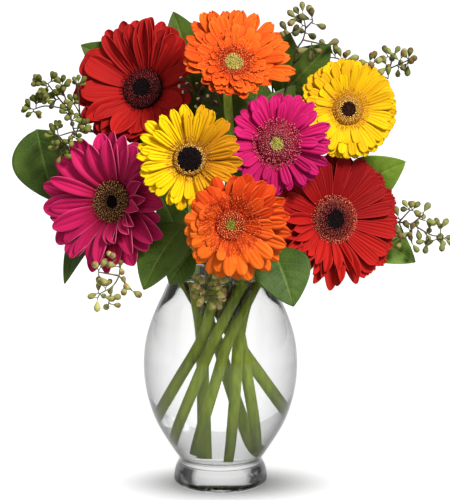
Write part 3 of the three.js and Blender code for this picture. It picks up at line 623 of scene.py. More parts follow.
ring_index = node(ring_tree, "GeometryNodeInputIndex").outputs[0]
ring_share = arithmetic(ring_tree, "DIVIDE", ring_index, ring["Count"])
ring_angle = scaled(ring_tree, ring_share, ring["Arc"], ring["Start"])
ring_angle = plus(ring_tree, ring_angle, straying(STRAY_ANGLE, 1))
height = times(ring_tree, ring["Drop"], -1.0)
points = round_points(ring_tree, ring["Count"], ring["Radius"], ring_angle, height)
growth = scaled(ring_tree, toward(ring["Longest"]), ring["Stretch"], 1.0)
growth = plus(ring_tree, growth, straying(STRAY_LENGTH, 2))
length = times(ring_tree, ring["Length"], growth)
width = times(ring_tree, ring["Width"], plus(ring_tree, 1.0, straying(STRAY_WIDTH, 3)))
lift = plus(ring_tree, ring["Lift"], straying(STRAY_LIFT, 4))
turn = vector_from(ring_tree, straying(STRAY_ROLL, 5), times(ring_tree, lift, -1.0), ring_angle)
points = kept_value(ring_tree, points, "shade", chance(ring_tree, 0.0, 1.0, ring["Seed"], 7))
# Petals toward the given side keep a value of painted shade for their material.
points = kept_value(ring_tree, points, "deep", times(ring_tree, toward(ring["DeepSide"]), ring["Deepness"]))
size = vector_from(ring_tree, length, width, length)
blades = planted(ring_tree, points, ring["Blades"], turn, size, ring["Seed"], 6)
finish_tree(ring_tree, blades, ring["Material"])


def grid_mesh(name, rows):
    """A sheet on rows of points, whose UV map runs across the rows and along them."""
    across = len(rows[0])
    mesh = bpy.data.meshes.new(name)
    faces = [(i * across + j, (i + 1) * across + j, (i + 1) * across + j + 1, i * across + j + 1)
             for i in range(len(rows) - 1) for j in range(across - 1)]
    mesh.from_pydata([point for row in rows for point in row], [], faces)
    uv = mesh.uv_layers.new(name="UVMap")
    for loop in mesh.loops:
        row, column = divmod(loop.vertex_index, across)
        uv.data[loop.index].uv = (column / (across - 1), row / (len(rows) - 1))
    return mesh


def blade_mesh(name, seed, shape):
    """A blade one unit long and wide along +X. Its shape says how it is notched, ridged, folded and bent."""
    draw = random.Random(seed)
    bend = shape["arch"] * (1 + 0.5 * draw.uniform(-1, 1))
    curl = shape["curl"] * draw.uniform(-0.4, 1.2)
    fold = shape["fold"] * draw.uniform(0.4, 1.5)
    sweep = shape["sweep"] * draw.uniform(-1, 1)
    wave = shape["wave"] * draw.uniform(-1, 1)
    phase = draw.uniform(0, 2 * math.pi)
    stations = []
    for i in range(shape["rows"] + 1):
        rise = i / shape["rows"]
        half = shape["root"] + (1 - shape["root"]) * math.sin(math.pi / 2 * rise) ** shape["shoulder"]
        stations.append((shape["widest"] * rise, half))
    for i in range(1, shape["tip_rows"] + 1):
        turn = math.radians(84) * i / shape["tip_rows"]
        along = shape["widest"] + (1 - shape["widest"]) * math.sin(turn)
        stations.append((along, math.cos(turn) ** shape["blunt"]))
    rows = []
    for along, half in stations:
        row = []
        for j in range(shape["columns"] + 1):
            side = 2 * j / shape["columns"] - 1
            nearness = max(0, (along - 0.8) / 0.2)
            reach = along + shape["notch"] * nearness * math.cos(3 * math.pi * side)
            height = bend * 4 * along * (1 - along) - curl * along ** 3
            height += fold * half * abs(side) ** 1.6 * (0.3 + 0.7 * along)
            ridges = math.cos(math.pi * shape["ridges"] * side)
            height += shape["ridge"] * half * ridges * math.sin(math.pi * along) ** 0.5
            height += wave * along * side * math.sin(2 * math.pi * along + phase)
            row.append((reach, 0.5 * half * side + sweep * along ** 2, height))
        rows.append(row)
    return grid_mesh(name, rows)


def kept_aside(name, meshes):
    """A collection of meshes to instance, which isn't part of the scene itself."""
    collection = bpy.data.collections.new(name)
    for index, mesh in enumerate(meshes):
        collection.objects.link(bpy.data.objects.new(f"{name}_{index}", mesh))
    return collection


BRACT = {"rows": 3, "tip_rows": 3, "columns": 4, "widest": 0.3, "root": 0.7, "shoulder": 1.0,
         "blunt": 1.6, "notch": 0.0, "arch": 0.06, "curl": 0.1, "fold": 0.3, "sweep": 0.02,
         "wave": 0.0, "ridge": 0.0, "ridges": 1}
bracts = kept_aside("bracts", [blade_mesh("bract", 300 + index, BRACT) for index in range(3)])


for index, (name, bloom) in enumerate(BLOOMS.items()):
    matrix = bloom_matrix(bloom)
    low = -HUB_HEIGHT - CUP_HEIGHT
    end = matrix @ (Vector((0, 0, low + 1)) * MM) / MM
    behind = matrix @ (Vector((0, 0, -HUB_HEIGHT - 24)) * MM) / MM
    behind.z -= 7
    foot = stem_foot(*bloom["foot"])
    passing = [bundle_point(bloom["waist"], bloom["lean"], height)
               for height in (BUNDLE_HEIGHT, STRAIGHT_TOP, NECK_HEIGHT)]
    route = smooth_path([foot, foot.lerp(passing[0], 0.55), *passing, *bloom["via"], behind, end], 7)
    path = tapered(route, STEM_RADIUS, *STEM_TAPER)
    stem = grown_mesh(name, stem_tree, path_mesh(name, [path]), Sides=STEM_SIDES, Material=stem_material)
    cup_outline = [(0, low - 1.4), (STEM_RADIUS + 0.2, low - 1.3), (STEM_RADIUS + 3, low + 0.9),
                   (bloom["disc"] * 0.6, low + 3.4), (bloom["disc"] * 0.78, low + 6),
                   (bloom["disc"] * 0.84, -HUB_HEIGHT - 0.3), (0, -HUB_HEIGHT - 0.3)]
    cup = turned_mesh("cup", [(r * MM, z * MM) for r, z in cup_outline], CUP_SIDES)
    cup.materials.append(stem_material)
    rings = []
    for layer, plan in enumerate(BRACT_RINGS):
        bract_ring = grown_mesh(
            name, ring_tree, Blades=bracts, Count=BRACT_COUNT, Radius=bloom["disc"] * plan["radius"] * MM,
            Length=bloom["disc"] * plan["length"] * MM, Width=BRACT_WIDTH, Drop=plan["drop"] * MM,
            Lift=math.radians(plan["lift"]), Unrest=BRACT_UNREST, Start=layer * math.pi / BRACT_COUNT,
            Arc=2 * math.pi, Deepness=0.0, Seed=index * 9 + layer, Material=stem_material)
        rings.append(thickened(bract_ring, BRACT_THICKNESS))
    for mesh in (cup, *rings):
        mesh.transform(matrix)
    stand_for(one_piece(name + "_stalk", [stem, cup, *rings]), "gerbera_stem", name + "_stem")


# Petals
# Each bloom has several rings of soft strap-shaped petals with fine ridges and notched tips. They are rooted
# under the edge of the disc, and each variety has its own width, fold and colours.
PETAL_THICKNESS = 0.45 * MM
PETAL_STREAKS = (24.0, 0.8, 37.0)
KINDS_OF_BLADE = 6
HUB_SIDES = 32
LONGER_SIDE = 1.4
BROAD = {"rows": 9, "tip_rows": 7, "columns": 14, "widest": 0.72, "root": 0.42, "shoulder": 0.9,
         "blunt": 0.75, "notch": 0.02, "arch": 0.05, "curl": 0.05, "fold": 0.05, "sweep": 0.05,
         "wave": 0.04, "ridge": 0.02, "ridges": 4}
LOBE = {**BROAD, "widest": 0.6, "blunt": 0.95, "notch": 0.0, "ridge": 0.012, "arch": 0.03}
SAIL = {**BROAD, "widest": 0.78, "blunt": 0.6, "notch": 0.0, "ridge": 0.01, "arch": 0.03, "sweep": 0.02}
TOOTHED = {**BROAD, "widest": 0.84, "blunt": 0.6, "notch": 0.025, "arch": 0.02, "curl": 0.02, "wave": 0.02,
           "fold": 0.03}
SLENDER = {**BROAD, "columns": 12, "widest": 0.78, "root": 0.5, "notch": 0.03, "fold": 0.04, "ridge": 0.024,
           "ridges": 3}
POINTED = {**SLENDER, "widest": 0.55, "root": 0.42, "blunt": 1.1, "notch": 0.0, "fold": 0.08, "sweep": 0.07,
           "ridge": 0.016}
STRAP = {**SLENDER, "widest": 0.84, "root": 0.55, "blunt": 0.66, "notch": 0.03, "ridge": 0.03, "fold": 0.05}
SMOOTH = {**STRAP, "columns": 10, "notch": 0.02, "ridge": 0.014, "fold": 0.02}
SHORT = {**STRAP, "rows": 6, "tip_rows": 5, "columns": 8}
PILLOW = {**STRAP, "widest": 0.74, "blunt": 0.8, "notch": 0.015, "fold": -0.1, "ridge": 0.014, "arch": 0.09,
          "curl": 0.12}
FOLDED = {**POINTED, "widest": 0.6, "fold": 0.2, "curl": -0.06}
PEAKED = {**BROAD, "widest": 0.64, "blunt": 1.0, "notch": 0.0, "fold": 0.14, "sweep": 0.1, "ridge": 0.016}

# Each ring of a bloom: its petals, their shape, from and to which angle they stand, their reach and width as
# shares of the bloom's reach, how far behind the disc they are rooted and how many degrees they lift.
VARIETIES = {
    "red_gerbera_left": [
        (6, PEAKED, 72, 134, 1.02, 0.24, 4.9, 0), (3, SAIL, 40, 74, 0.98, 0.36, 4.9, 0),
        (2, SAIL, 154, 186, 1.0, 0.54, 4.9, 0),
        (2, LOBE, 184, 208, 1.07, 0.44, 4.9, 0), (4, FOLDED, 212, 250, 1.14, 0.34, 4.9, -4),
        (5, BROAD, 252, 322, 1.06, 0.38, 4.9, -2), (6, LOBE, -34, 44, 1.0, 0.3, 4.9, 0),
        (7, PEAKED, 62, 136, 0.98, 0.24, 3.4, 4), (2, SAIL, 156, 180, 0.93, 0.5, 3.4, 4),
        (2, LOBE, 190, 212, 0.98, 0.4, 3.4, 5), (4, FOLDED, 216, 256, 1.08, 0.32, 3.4, 1),
        (4, BROAD, 258, 326, 1.0, 0.36, 3.4, 1), (5, LOBE, -28, 38, 0.88, 0.27, 3.4, 6),
        (5, SLENDER, 62, 132, 0.84, 0.2, 2.2, 9),
    ],
    "red_gerbera_right": [
        (14, TOOTHED, -62, 172, 1.0, 0.27, 4.9, 0), (14, TOOTHED, -54, 180, 0.98, 0.26, 3.6, 2),
        (12, TOOTHED, -50, 168, 0.93, 0.22, 2.4, 5), (10, POINTED, 168, 300, 1.04, 0.22, 4.9, 0),
        (10, FOLDED, 178, 298, 0.95, 0.17, 3.6, 5), (8, FOLDED, 184, 292, 0.82, 0.15, 2.4, 10),
    ],
    "yellow_gerbera_left": [
        (18, STRAP, 0, 360, 1.0, 0.21, 5.0, -2), (18, STRAP, 10, 370, 0.96, 0.2, 3.6, 2),
        (15, STRAP, 3, 363, 0.84, 0.17, 2.2, 7),
    ],
    "yellow_gerbera_right": [
        (26, SMOOTH, 0, 360, 1.0, 0.23, 5.0, -2), (26, SMOOTH, 7, 367, 0.98, 0.22, 3.6, 0),
        (24, SMOOTH, 3, 363, 0.92, 0.19, 2.4, 4), (12, SMOOTH, 100, 300, 0.72, 0.16, 1.8, 9),
    ],
    "magenta_gerbera_right": [
        (17, SLENDER, 0, 360, 1.0, 0.23, 4.9, 0), (17, SLENDER, 11, 371, 0.95, 0.22, 3.4, 3),
        (9, SLENDER, 5, 365, 0.8, 0.18, 2.2, 8),
    ],
    "magenta_gerbera_left": [
        (17, POINTED, 0, 360, 1.0, 0.32, 4.9, -1), (16, POINTED, 13, 373, 0.97, 0.29, 3.6, 2),
        (10, POINTED, 95, 285, 0.88, 0.23, 2.4, 6), (7, FOLDED, -80, 40, 0.72, 0.17, 2.2, 16),
    ],
    "orange_gerbera_top": [
        (6, STRAP, -22, 44, 1.05, 0.23, 5.3, 1), (9, STRAP, 44, 136, 1.06, 0.24, 5.3, 1),
        (6, STRAP, 136, 204, 0.93, 0.23, 5.3, 1), (11, STRAP, 204, 338, 0.76, 0.19, 5.3, 6),
        (17, STRAP, -18, 198, 0.94, 0.21, 4.2, 5), (10, STRAP, 202, 340, 0.7, 0.18, 4.2, 9),
        (26, SHORT, 3, 363, 0.74, 0.18, 3.2, 9), (22, SHORT, 12, 372, 0.62, 0.15, 2.4, 13),
        (18, SHORT, 6, 366, 0.5, 0.12, 1.6, 19),
    ],
    "orange_gerbera_low": [
        (9, PILLOW, 104, 248, 1.0, 0.25, 5.3, -4), (8, PILLOW, 112, 244, 0.88, 0.24, 4.4, 2),
        (8, PILLOW, 106, 240, 0.75, 0.23, 3.4, 8), (7, PILLOW, 116, 236, 0.62, 0.2, 2.4, 14),
        (6, PILLOW, 248, 336, 1.0, 0.28, 5.3, -2), (5, PILLOW, 254, 332, 0.9, 0.27, 4.2, 4),
        (4, PILLOW, 250, 330, 0.74, 0.22, 3.0, 10), (8, SLENDER, -24, 104, 1.0, 0.3, 5.3, -2),
        (8, SLENDER, -17, 108, 0.95, 0.28, 4.2, 2), (6, SLENDER, -20, 100, 0.78, 0.2, 3.0, 9),
    ],
}
# Each colour's deep tone darkens its fine streaks and serves as painted shade; lines is the painted shade in
# its grooves.
PETAL_COLOURS = {
    "red": {"root": (0.34, 0.004, 0.004), "middle": (0.43, 0.009, 0.006), "tip": (0.47, 0.013, 0.009),
            "deep": (0.2, 0.002, 0.003), "edge": (0.5, 0.03, 0.025),
            "edge_from": 0.93, "ridges": 4, "lines": 0.14},
    "orange": {"root": (0.7, 0.05, 0.004), "middle": (0.82, 0.12, 0.007), "tip": (0.83, 0.16, 0.012),
               "deep": (0.54, 0.03, 0.003), "edge": (0.92, 0.27, 0.045),
               "edge_from": 0.86, "ridges": 3, "lines": 0.2},
    "yellow": {"root": (0.84, 0.46, 0.001), "middle": (0.87, 0.55, 0.001), "tip": (0.87, 0.58, 0.001),
               "deep": (0.56, 0.22, 0.004), "edge": (0.96, 0.7, 0.004),
               "edge_from": 0.9, "ridges": 3, "lines": 0.12},
    "magenta": {"root": (0.46, 0.006, 0.06), "middle": (0.6, 0.01, 0.13), "tip": (0.66, 0.016, 0.18),
                "deep": (0.3, 0.003, 0.06), "edge": (0.74, 0.05, 0.27),
                "edge_from": 0.92, "ridges": 3, "lines": 0.14},
    "cerise": {"root": (0.36, 0.005, 0.03), "middle": (0.6, 0.012, 0.11), "tip": (0.68, 0.016, 0.14),
               "deep": (0.24, 0.003, 0.03), "edge": (0.84, 0.22, 0.34),
               "edge_from": 0.95, "ridges": 3, "lines": 0.14},
}


def across_and_along(tree):
    """Where a point lies across its piece and along it, both from 0 to 1."""
    return parts_of(tree, node(tree, "ShaderNodeUVMap", uv_map="UVMap").outputs[0])[:2]


def value_of(tree, name):
    """A named value that the piece's mesh keeps."""
    return node(tree, "ShaderNodeAttribute", attribute_name=name).outputs["Fac"]


def petal_material(colour, tones):
    """Colour from root to tip, darker in fine streaks, with painted shade in grooves and on one side, paler
    at the edge.
    """
    material, tree, shader = new_material(colour + "_petal", {
        "Roughness": 0.65, "Sheen Weight": 0.02, "Sheen Roughness": 0.4, "Specular IOR Level": 0.1,
    })
    across, along = across_and_along(tree)
    shade = value_of(tree, "shade")
    ramp = node(tree, "ShaderNodeValToRGB", {0: along})
    ramp.color_ramp.elements[0].color = (*tones["root"], 1)
    ramp.color_ramp.elements[1].color = (*tones["tip"], 1)
    ramp.color_ramp.elements.new(0.4).color = (*tones["middle"], 1)
    streaks = [times(tree, value, scale) for value, scale in zip((across, along, shade), PETAL_STREAKS)]
    streaks = noise(tree, vector_from(tree, *streaks), 1.0, 4, 0.6)
    # Dark lines along the grooves between the ridges are painted shade.
    ridges = scaled(tree, across, 2 * math.pi * tones["ridges"], math.pi * (1 - tones["ridges"]))
    groove_painted_shade = arithmetic(tree, "POWER", scaled(tree, arithmetic(tree, "COSINE", ridges), -0.5, 0.5), 3.0)
    groove_shade_and_drift = scaled(tree, groove_painted_shade, tones["lines"], scaled(tree, shade, 0.4, -0.1))
    dark = plus(tree, mapped(tree, streaks, 0.62, 0.36, 0.0, 0.45), groove_shade_and_drift)
    # The kept value adds painted shade to the petals on one side of the bloom.
    dark = node(tree, "ShaderNodeClamp", {0: plus(tree, dark, value_of(tree, "deep"))}).outputs[0]
    body = mixed(tree, dark, ramp.outputs[0], (*tones["deep"], 1))
    from_middle = arithmetic(tree, "ABSOLUTE", scaled(tree, across, 2.0, -1.0))
    rim = mapped(tree, from_middle, tones["edge_from"], 1.0, 0.0, 0.6)
    painted(tree, shader, mixed(tree, rim, body, (*tones["edge"], 1)), streaks, strength=0.5, depth=0.0006)
    return material


petal_materials = {colour: petal_material(colour, tones) for colour, tones in PETAL_COLOURS.items()}
for index, (name, layers) in enumerate(VARIETIES.items()):
    bloom = BLOOMS[name]
    colour = name.split("_")[0]
    finish = petal_materials["cerise" if name == "magenta_gerbera_left" else colour]
    root = (bloom["disc"] - 1.2) * 0.94
    rings = []
    for layer, (count, shape, start, stop, reach, width, drop, lift) in enumerate(layers):
        seed = 200 * index + 20 * layer
        kinds = [blade_mesh("blade", seed + step, shape) for step in range(KINDS_OF_BLADE)]
        blades = kept_aside(f"{name}_blades_{layer}", kinds)
        petals = grown_mesh(
            name, ring_tree, Blades=blades, Count=count, Radius=root * MM,
            Length=(bloom["reach"] * reach - root) * MM, Width=bloom["reach"] * width * MM, Drop=drop * MM,
            Lift=math.radians(bloom["cup"] + lift), Unrest=bloom.get("unrest", 1.0), Seed=index * 31 + layer,
            Start=math.radians(start), Arc=math.radians(stop - start), Longest=math.radians(bloom["longest"]),
            Stretch=bloom["stretch"] * LONGER_SIDE, DeepSide=math.radians(bloom["painted_shade_side"]),
            Deepness=bloom["deepness"], Material=finish)
        rings.append(thickened(petals, PETAL_THICKNESS))
    hub_outline = [(0, -HUB_HEIGHT), (bloom["disc"] * 0.8, -HUB_HEIGHT),
                   (bloom["disc"] * 0.86, -HUB_HEIGHT / 2), (bloom["disc"] * 0.86, -0.4),
                   (bloom["disc"] * 0.7, -4.8), (0, -5)]
    hub = turned_mesh("hub", [(r * MM, z * MM) for r, z in hub_outline], HUB_SIDES)
    hub.materials.append(finish)
    bloom_rings = one_piece(name + "_petal_rings", [hub, *rings], bloom_matrix(bloom))
    stand_for(bloom_rings, colour + "_petals", name + "_petals")
    keep_off(floor, bloom_rings)


# Discs
# The middle of each bloom is a crowd of tiny tube-shaped florets on a low dome, closed in the eye and open
# with paler tips towards the rim, where a fringe of finer florets stands between the petals' roots.
GOLDEN_ANGLE = math.pi * (3 - math.sqrt(5))

crown_tree, crown = new_tree(
    "crown_of_florets", "Inner Outer InnerHeight OuterHeight InnerLean OuterLean Size",
    Florets="Collection", Count="Int", Seed="Int", Material="Material")
crown_index = node(crown_tree, "GeometryNodeInputIndex").outputs[0]
crown_share = arithmetic(crown_tree, "DIVIDE", plus(crown_tree, crown_index, 0.5), crown["Count"])


def outward(low, high):
    """The value at a floret that goes from low at the inner edge of its crown to high at the outer edge."""
    return scaled(crown_tree, arithmetic(crown_tree, "SUBTRACT", high, low), crown_share, low)


inner_square, outer_square = [times(crown_tree, crown[edge], crown[edge]) for edge in ("Inner", "Outer")]
radius = arithmetic(crown_tree, "SQRT", outward(inner_square, outer_square))
angle = scaled(crown_tree, crown_index, GOLDEN_ANGLE, spread(crown_tree, 0.06, crown["Seed"], 1))
height = outward(crown["InnerHeight"], crown["OuterHeight"])
points = round_points(crown_tree, crown["Count"], radius, angle, height)
lean = outward(crown["InnerLean"], crown["OuterLean"])
lean = plus(crown_tree, lean, spread(crown_tree, 0.16, crown["Seed"], 3))
turn = vector_from(crown_tree, spread(crown_tree, 0.2, crown["Seed"], 2), lean, angle)
growth = plus(crown_tree, 1.0, spread(crown_tree, 0.2, crown["Seed"], 4))
size = times(crown_tree, crown["Size"], growth)
crowd = planted(crown_tree, points, crown["Florets"], turn, size, crown["Seed"], 5)
crowd = kept_value(crown_tree, crowd, "shade", chance(crown_tree, 0.0, 1.0, crown["Seed"], 6), "INSTANCE")
finish_tree(crown_tree, crowd, crown["Material"])


def floret_mesh(name, outline, sides, bow=0.0):
    """A tiny closed floret or pod along +Z, from (radius, height) pairs, with a UV map that runs up it."""
    rows = []
    for radius, height in outline:
        row = []
        for side in range(sides + 1):
            angle = 2 * math.pi * side / sides
            row.append((radius * math.cos(angle) + bow * height ** 2, radius * math.sin(angle), height))
        rows.append(row)
    mesh = grid_mesh(name, rows)
    shape = bmesh.new()
    shape.from_mesh(mesh)
    bmesh.ops.remove_doubles(shape, verts=shape.verts, dist=0.0001)
    bmesh.ops.recalc_face_normals(shape, faces=shape.faces)
    shape.to_mesh(mesh)
    shape.free()
    return mesh


BUD = [(0, 0), (0.42, 0.15), (0.5, 0.55), (0.34, 0.95), (0, 1.1)]
OPEN = [(0, 0), (0.16, 0.5), (0.17, 1.1), (0.3, 1.5), (0.34, 1.7), (0, 1.6)]
THREAD = [(0, 0), (0.09, 0.8), (0.09, 1.7), (0.18, 2.1), (0.17, 2.4), (0, 2.5)]
FLORETS = {
    "bud": (BUD, 6, (0.0,)),
    "open": (OPEN, 6, (-0.06, 0.0, 0.08)),
    "thread": (THREAD, 5, (-0.12, 0.0, 0.1, 0.2)),
}
florets = {kind: kept_aside(kind + "_florets", [floret_mesh(kind, outline, sides, bow) for bow in bows])
           for kind, (outline, sides, bows) in FLORETS.items()}


def floret_material(name, low, high, from_height=0.5, to_height=0.85):
    """A floret's colour below and at its tip, a little different on each one."""
    material, tree, shader = new_material(name, {"Roughness": 0.65, "Specular IOR Level": 0.15})
    share = mapped(tree, across_and_along(tree)[1], from_height, to_height)
    bright = mapped(tree, value_of(tree, "shade"), 0.0, 1.0, 0.55, 1.25)
    colour = mixed(tree, share, (*low, 1), (*high, 1))
    varied = node(tree, "ShaderNodeHueSaturation", {"Value": bright, "Color": colour}).outputs[0]
    painted(tree, shader, varied)
    return material


FLORET_COLOURS = {
    "black_eye": ((0.003, 0.001, 0.001), (0.016, 0.005, 0.006)),
    "brown_eye": ((0.01, 0.003, 0.002), (0.06, 0.016, 0.008)),
    "maroon": ((0.06, 0.003, 0.004), (0.3, 0.03, 0.03)),
    "maroon_rim": ((0.02, 0.002, 0.001), (0.1, 0.01, 0.01)),
    "rose_maroon": ((0.09, 0.006, 0.004), (0.42, 0.07, 0.045)),
    "peach_gold": ((0.36, 0.03, 0.014), (0.95, 0.5, 0.3)),
    "green_eye": ((0.42, 0.33, 0.04), (0.66, 0.54, 0.14)),
    "olive_eye": ((0.15, 0.15, 0.014), (0.4, 0.34, 0.05)),
    "crimson": ((0.24, 0.006, 0.024), (0.56, 0.08, 0.12)),
    "peach_pink": ((0.42, 0.012, 0.05), (0.92, 0.38, 0.3)),
    "gold": ((0.66, 0.29, 0.008), (0.98, 0.62, 0.16)),
    "gold_dark": ((0.4, 0.14, 0.006), (0.95, 0.58, 0.16)),
    "gold_brown": ((0.07, 0.016, 0.006), (0.4, 0.2, 0.07)),
    "brown_gold": ((0.18, 0.05, 0.014), (0.66, 0.38, 0.15)),
    "orange_red": ((0.62, 0.035, 0.005), (0.88, 0.14, 0.03)),
    "orange_cream": ((0.66, 0.05, 0.007), (0.98, 0.42, 0.16)),
}
floret_materials = {name: floret_material(name, low, high) for name, (low, high) in FLORET_COLOURS.items()}

# Each crown of a disc: florets, count, from and to which share of the disc's radius, their heights there,
# their outward leans in degrees, their size in millimetres and their colour.
DISCS = {
    "red_gerbera_left": [
        ("bud", 190, 0.0, 0.5, 2.0, 2.4, 0, 10, 0.95, "black_eye"),
        ("open", 300, 0.44, 0.9, 2.4, 1.0, 4, 30, 1.15, "maroon"),
        ("thread", 120, 0.84, 1.02, 1.4, 0.2, 26, 60, 1.2, "maroon_rim"),
    ],
    "red_gerbera_right": [
        ("bud", 200, 0.0, 0.5, 1.0, 1.9, 0, 0, 0.95, "black_eye"),
        ("open", 90, 0.44, 0.62, 2.0, 2.0, -6, 4, 1.1, "maroon"),
        ("open", 180, 0.58, 0.84, 2.0, 1.6, 0, 16, 1.1, "rose_maroon"),
        ("thread", 360, 0.84, 1.06, 1.7, 0.2, 16, 52, 1.1, "peach_gold"),
    ],
    "yellow_gerbera_left": [
        ("bud", 170, 0.0, 0.6, 1.8, 2.2, 0, 8, 1.05, "black_eye"),
        ("open", 46, 0.56, 0.72, 2.0, 1.8, 0, 30, 1.0, "black_eye"),
        ("open", 90, 0.66, 0.84, 1.7, 1.5, 4, 30, 1.05, "gold"),
        ("thread", 300, 0.76, 1.22, 1.2, 0.5, 14, 70, 1.15, "gold_dark"),
    ],
    "yellow_gerbera_right": [
        ("bud", 130, 0.0, 0.46, 1.4, 1.8, 0, 8, 1.0, "brown_eye"),
        ("open", 110, 0.44, 0.7, 1.8, 1.6, -6, 24, 1.05, "gold"),
        ("thread", 340, 0.6, 1.2, 1.4, 0.5, 0, 70, 1.2, "gold"),
    ],
    "magenta_gerbera_right": [
        ("bud", 110, 0.0, 0.34, 1.9, 1.6, 0, 4, 0.9, "green_eye"),
        ("open", 150, 0.36, 0.6, 1.6, 1.8, -6, 6, 1.1, "crimson"),
        ("thread", 620, 0.38, 1.14, 1.4, 0.7, -4, 56, 1.2, "peach_pink"),
    ],
    "magenta_gerbera_left": [
        ("bud", 110, 0.0, 0.36, -2.4, -1.8, 0, 0, 1.0, "black_eye"),
        ("open", 170, 0.36, 0.58, -1.6, 1.2, -26, -16, 1.1, "gold_brown"),
        ("open", 280, 0.56, 0.98, 1.4, 0.8, -8, 34, 1.15, "brown_gold"),
        ("thread", 110, 0.96, 1.34, 0.6, 1.2, 44, 68, 1.3, "crimson"),
    ],
    "orange_gerbera_top": [
        ("bud", 190, 0.0, 0.66, 2.0, 1.8, 0, 6, 0.9, "green_eye"),
        ("thread", 250, 0.62, 1.12, 1.7, 1.7, -4, 40, 1.2, "orange_cream"),
        ("thread", 420, 0.86, 1.9, 1.3, 3.2, 10, 58, 1.5, "orange_red"),
        ("thread", 230, 1.0, 2.2, 1.8, 4.1, 20, 56, 1.35, "orange_cream"),
    ],
    "orange_gerbera_low": [
        ("bud", 80, 0.0, 0.34, 1.2, 1.4, 0, 6, 0.9, "olive_eye"),
        ("open", 110, 0.36, 0.86, 1.6, 2.0, -12, 14, 1.05, "orange_cream"),
        ("open", 130, 0.36, 0.9, 1.5, 1.9, -12, 14, 1.05, "orange_red"),
        ("thread", 430, 0.72, 1.75, 1.5, 3.0, 4, 58, 1.5, "orange_red"),
        ("thread", 270, 0.74, 1.9, 1.8, 3.6, 8, 56, 1.25, "orange_cream"),
    ],
}
DISC_SLOTS = {"red": "maroon_disc", "orange": "pale_disc", "yellow": "brown_disc", "magenta": "magenta_disc"}
DOME_SIDES = 40
FLORETS_SUNK = 0.9
WITHIN_DOME = 1.02

for index, (name, crowns) in enumerate(DISCS.items()):
    bloom = BLOOMS[name]
    radius = bloom["disc"] * MM
    outers = [outer for kind, count, inner, outer, *_ in crowns]
    dome_outline = [(0, -6 * MM), (radius * 0.9, -6 * MM), (radius * 0.97, 0.3 * MM)]
    for kind, count, inner, outer, low, high, *_ in crowns[::-1]:
        if outer <= WITHIN_DOME:
            dome_outline.append((radius * outer, (high - FLORETS_SUNK) * MM))
    # The eye comes last, and the height of its middle closes the dome.
    dome_outline.append((0, (low - FLORETS_SUNK) * MM))
    dome = turned_mesh("dome", dome_outline, DOME_SIDES)
    for *_, colour in crowns:
        dome.materials.append(floret_materials[colour])
    for face in dome.polygons:
        face.material_index = sum(face.center.xy.length / radius > outer for outer in outers[:-1])
    meshes = [dome]
    for layer, (kind, count, inner, outer, low, high, lean_in, lean_out, size, colour) in enumerate(crowns):
        meshes.append(grown_mesh(
            name, crown_tree, Florets=florets[kind], Count=count, Inner=radius * inner, Outer=radius * outer,
            InnerHeight=low * MM, OuterHeight=high * MM, InnerLean=math.radians(lean_in),
            OuterLean=math.radians(lean_out), Size=size * MM, Seed=900 + index * 13 + layer,
            Material=floret_materials[colour]))
    disc = one_piece(name + "_florets", meshes, bloom_matrix(bloom))
    stand_for(disc, DISC_SLOTS[name.split("_")[0]], name + "_disc")
    keep_off(floor, disc)


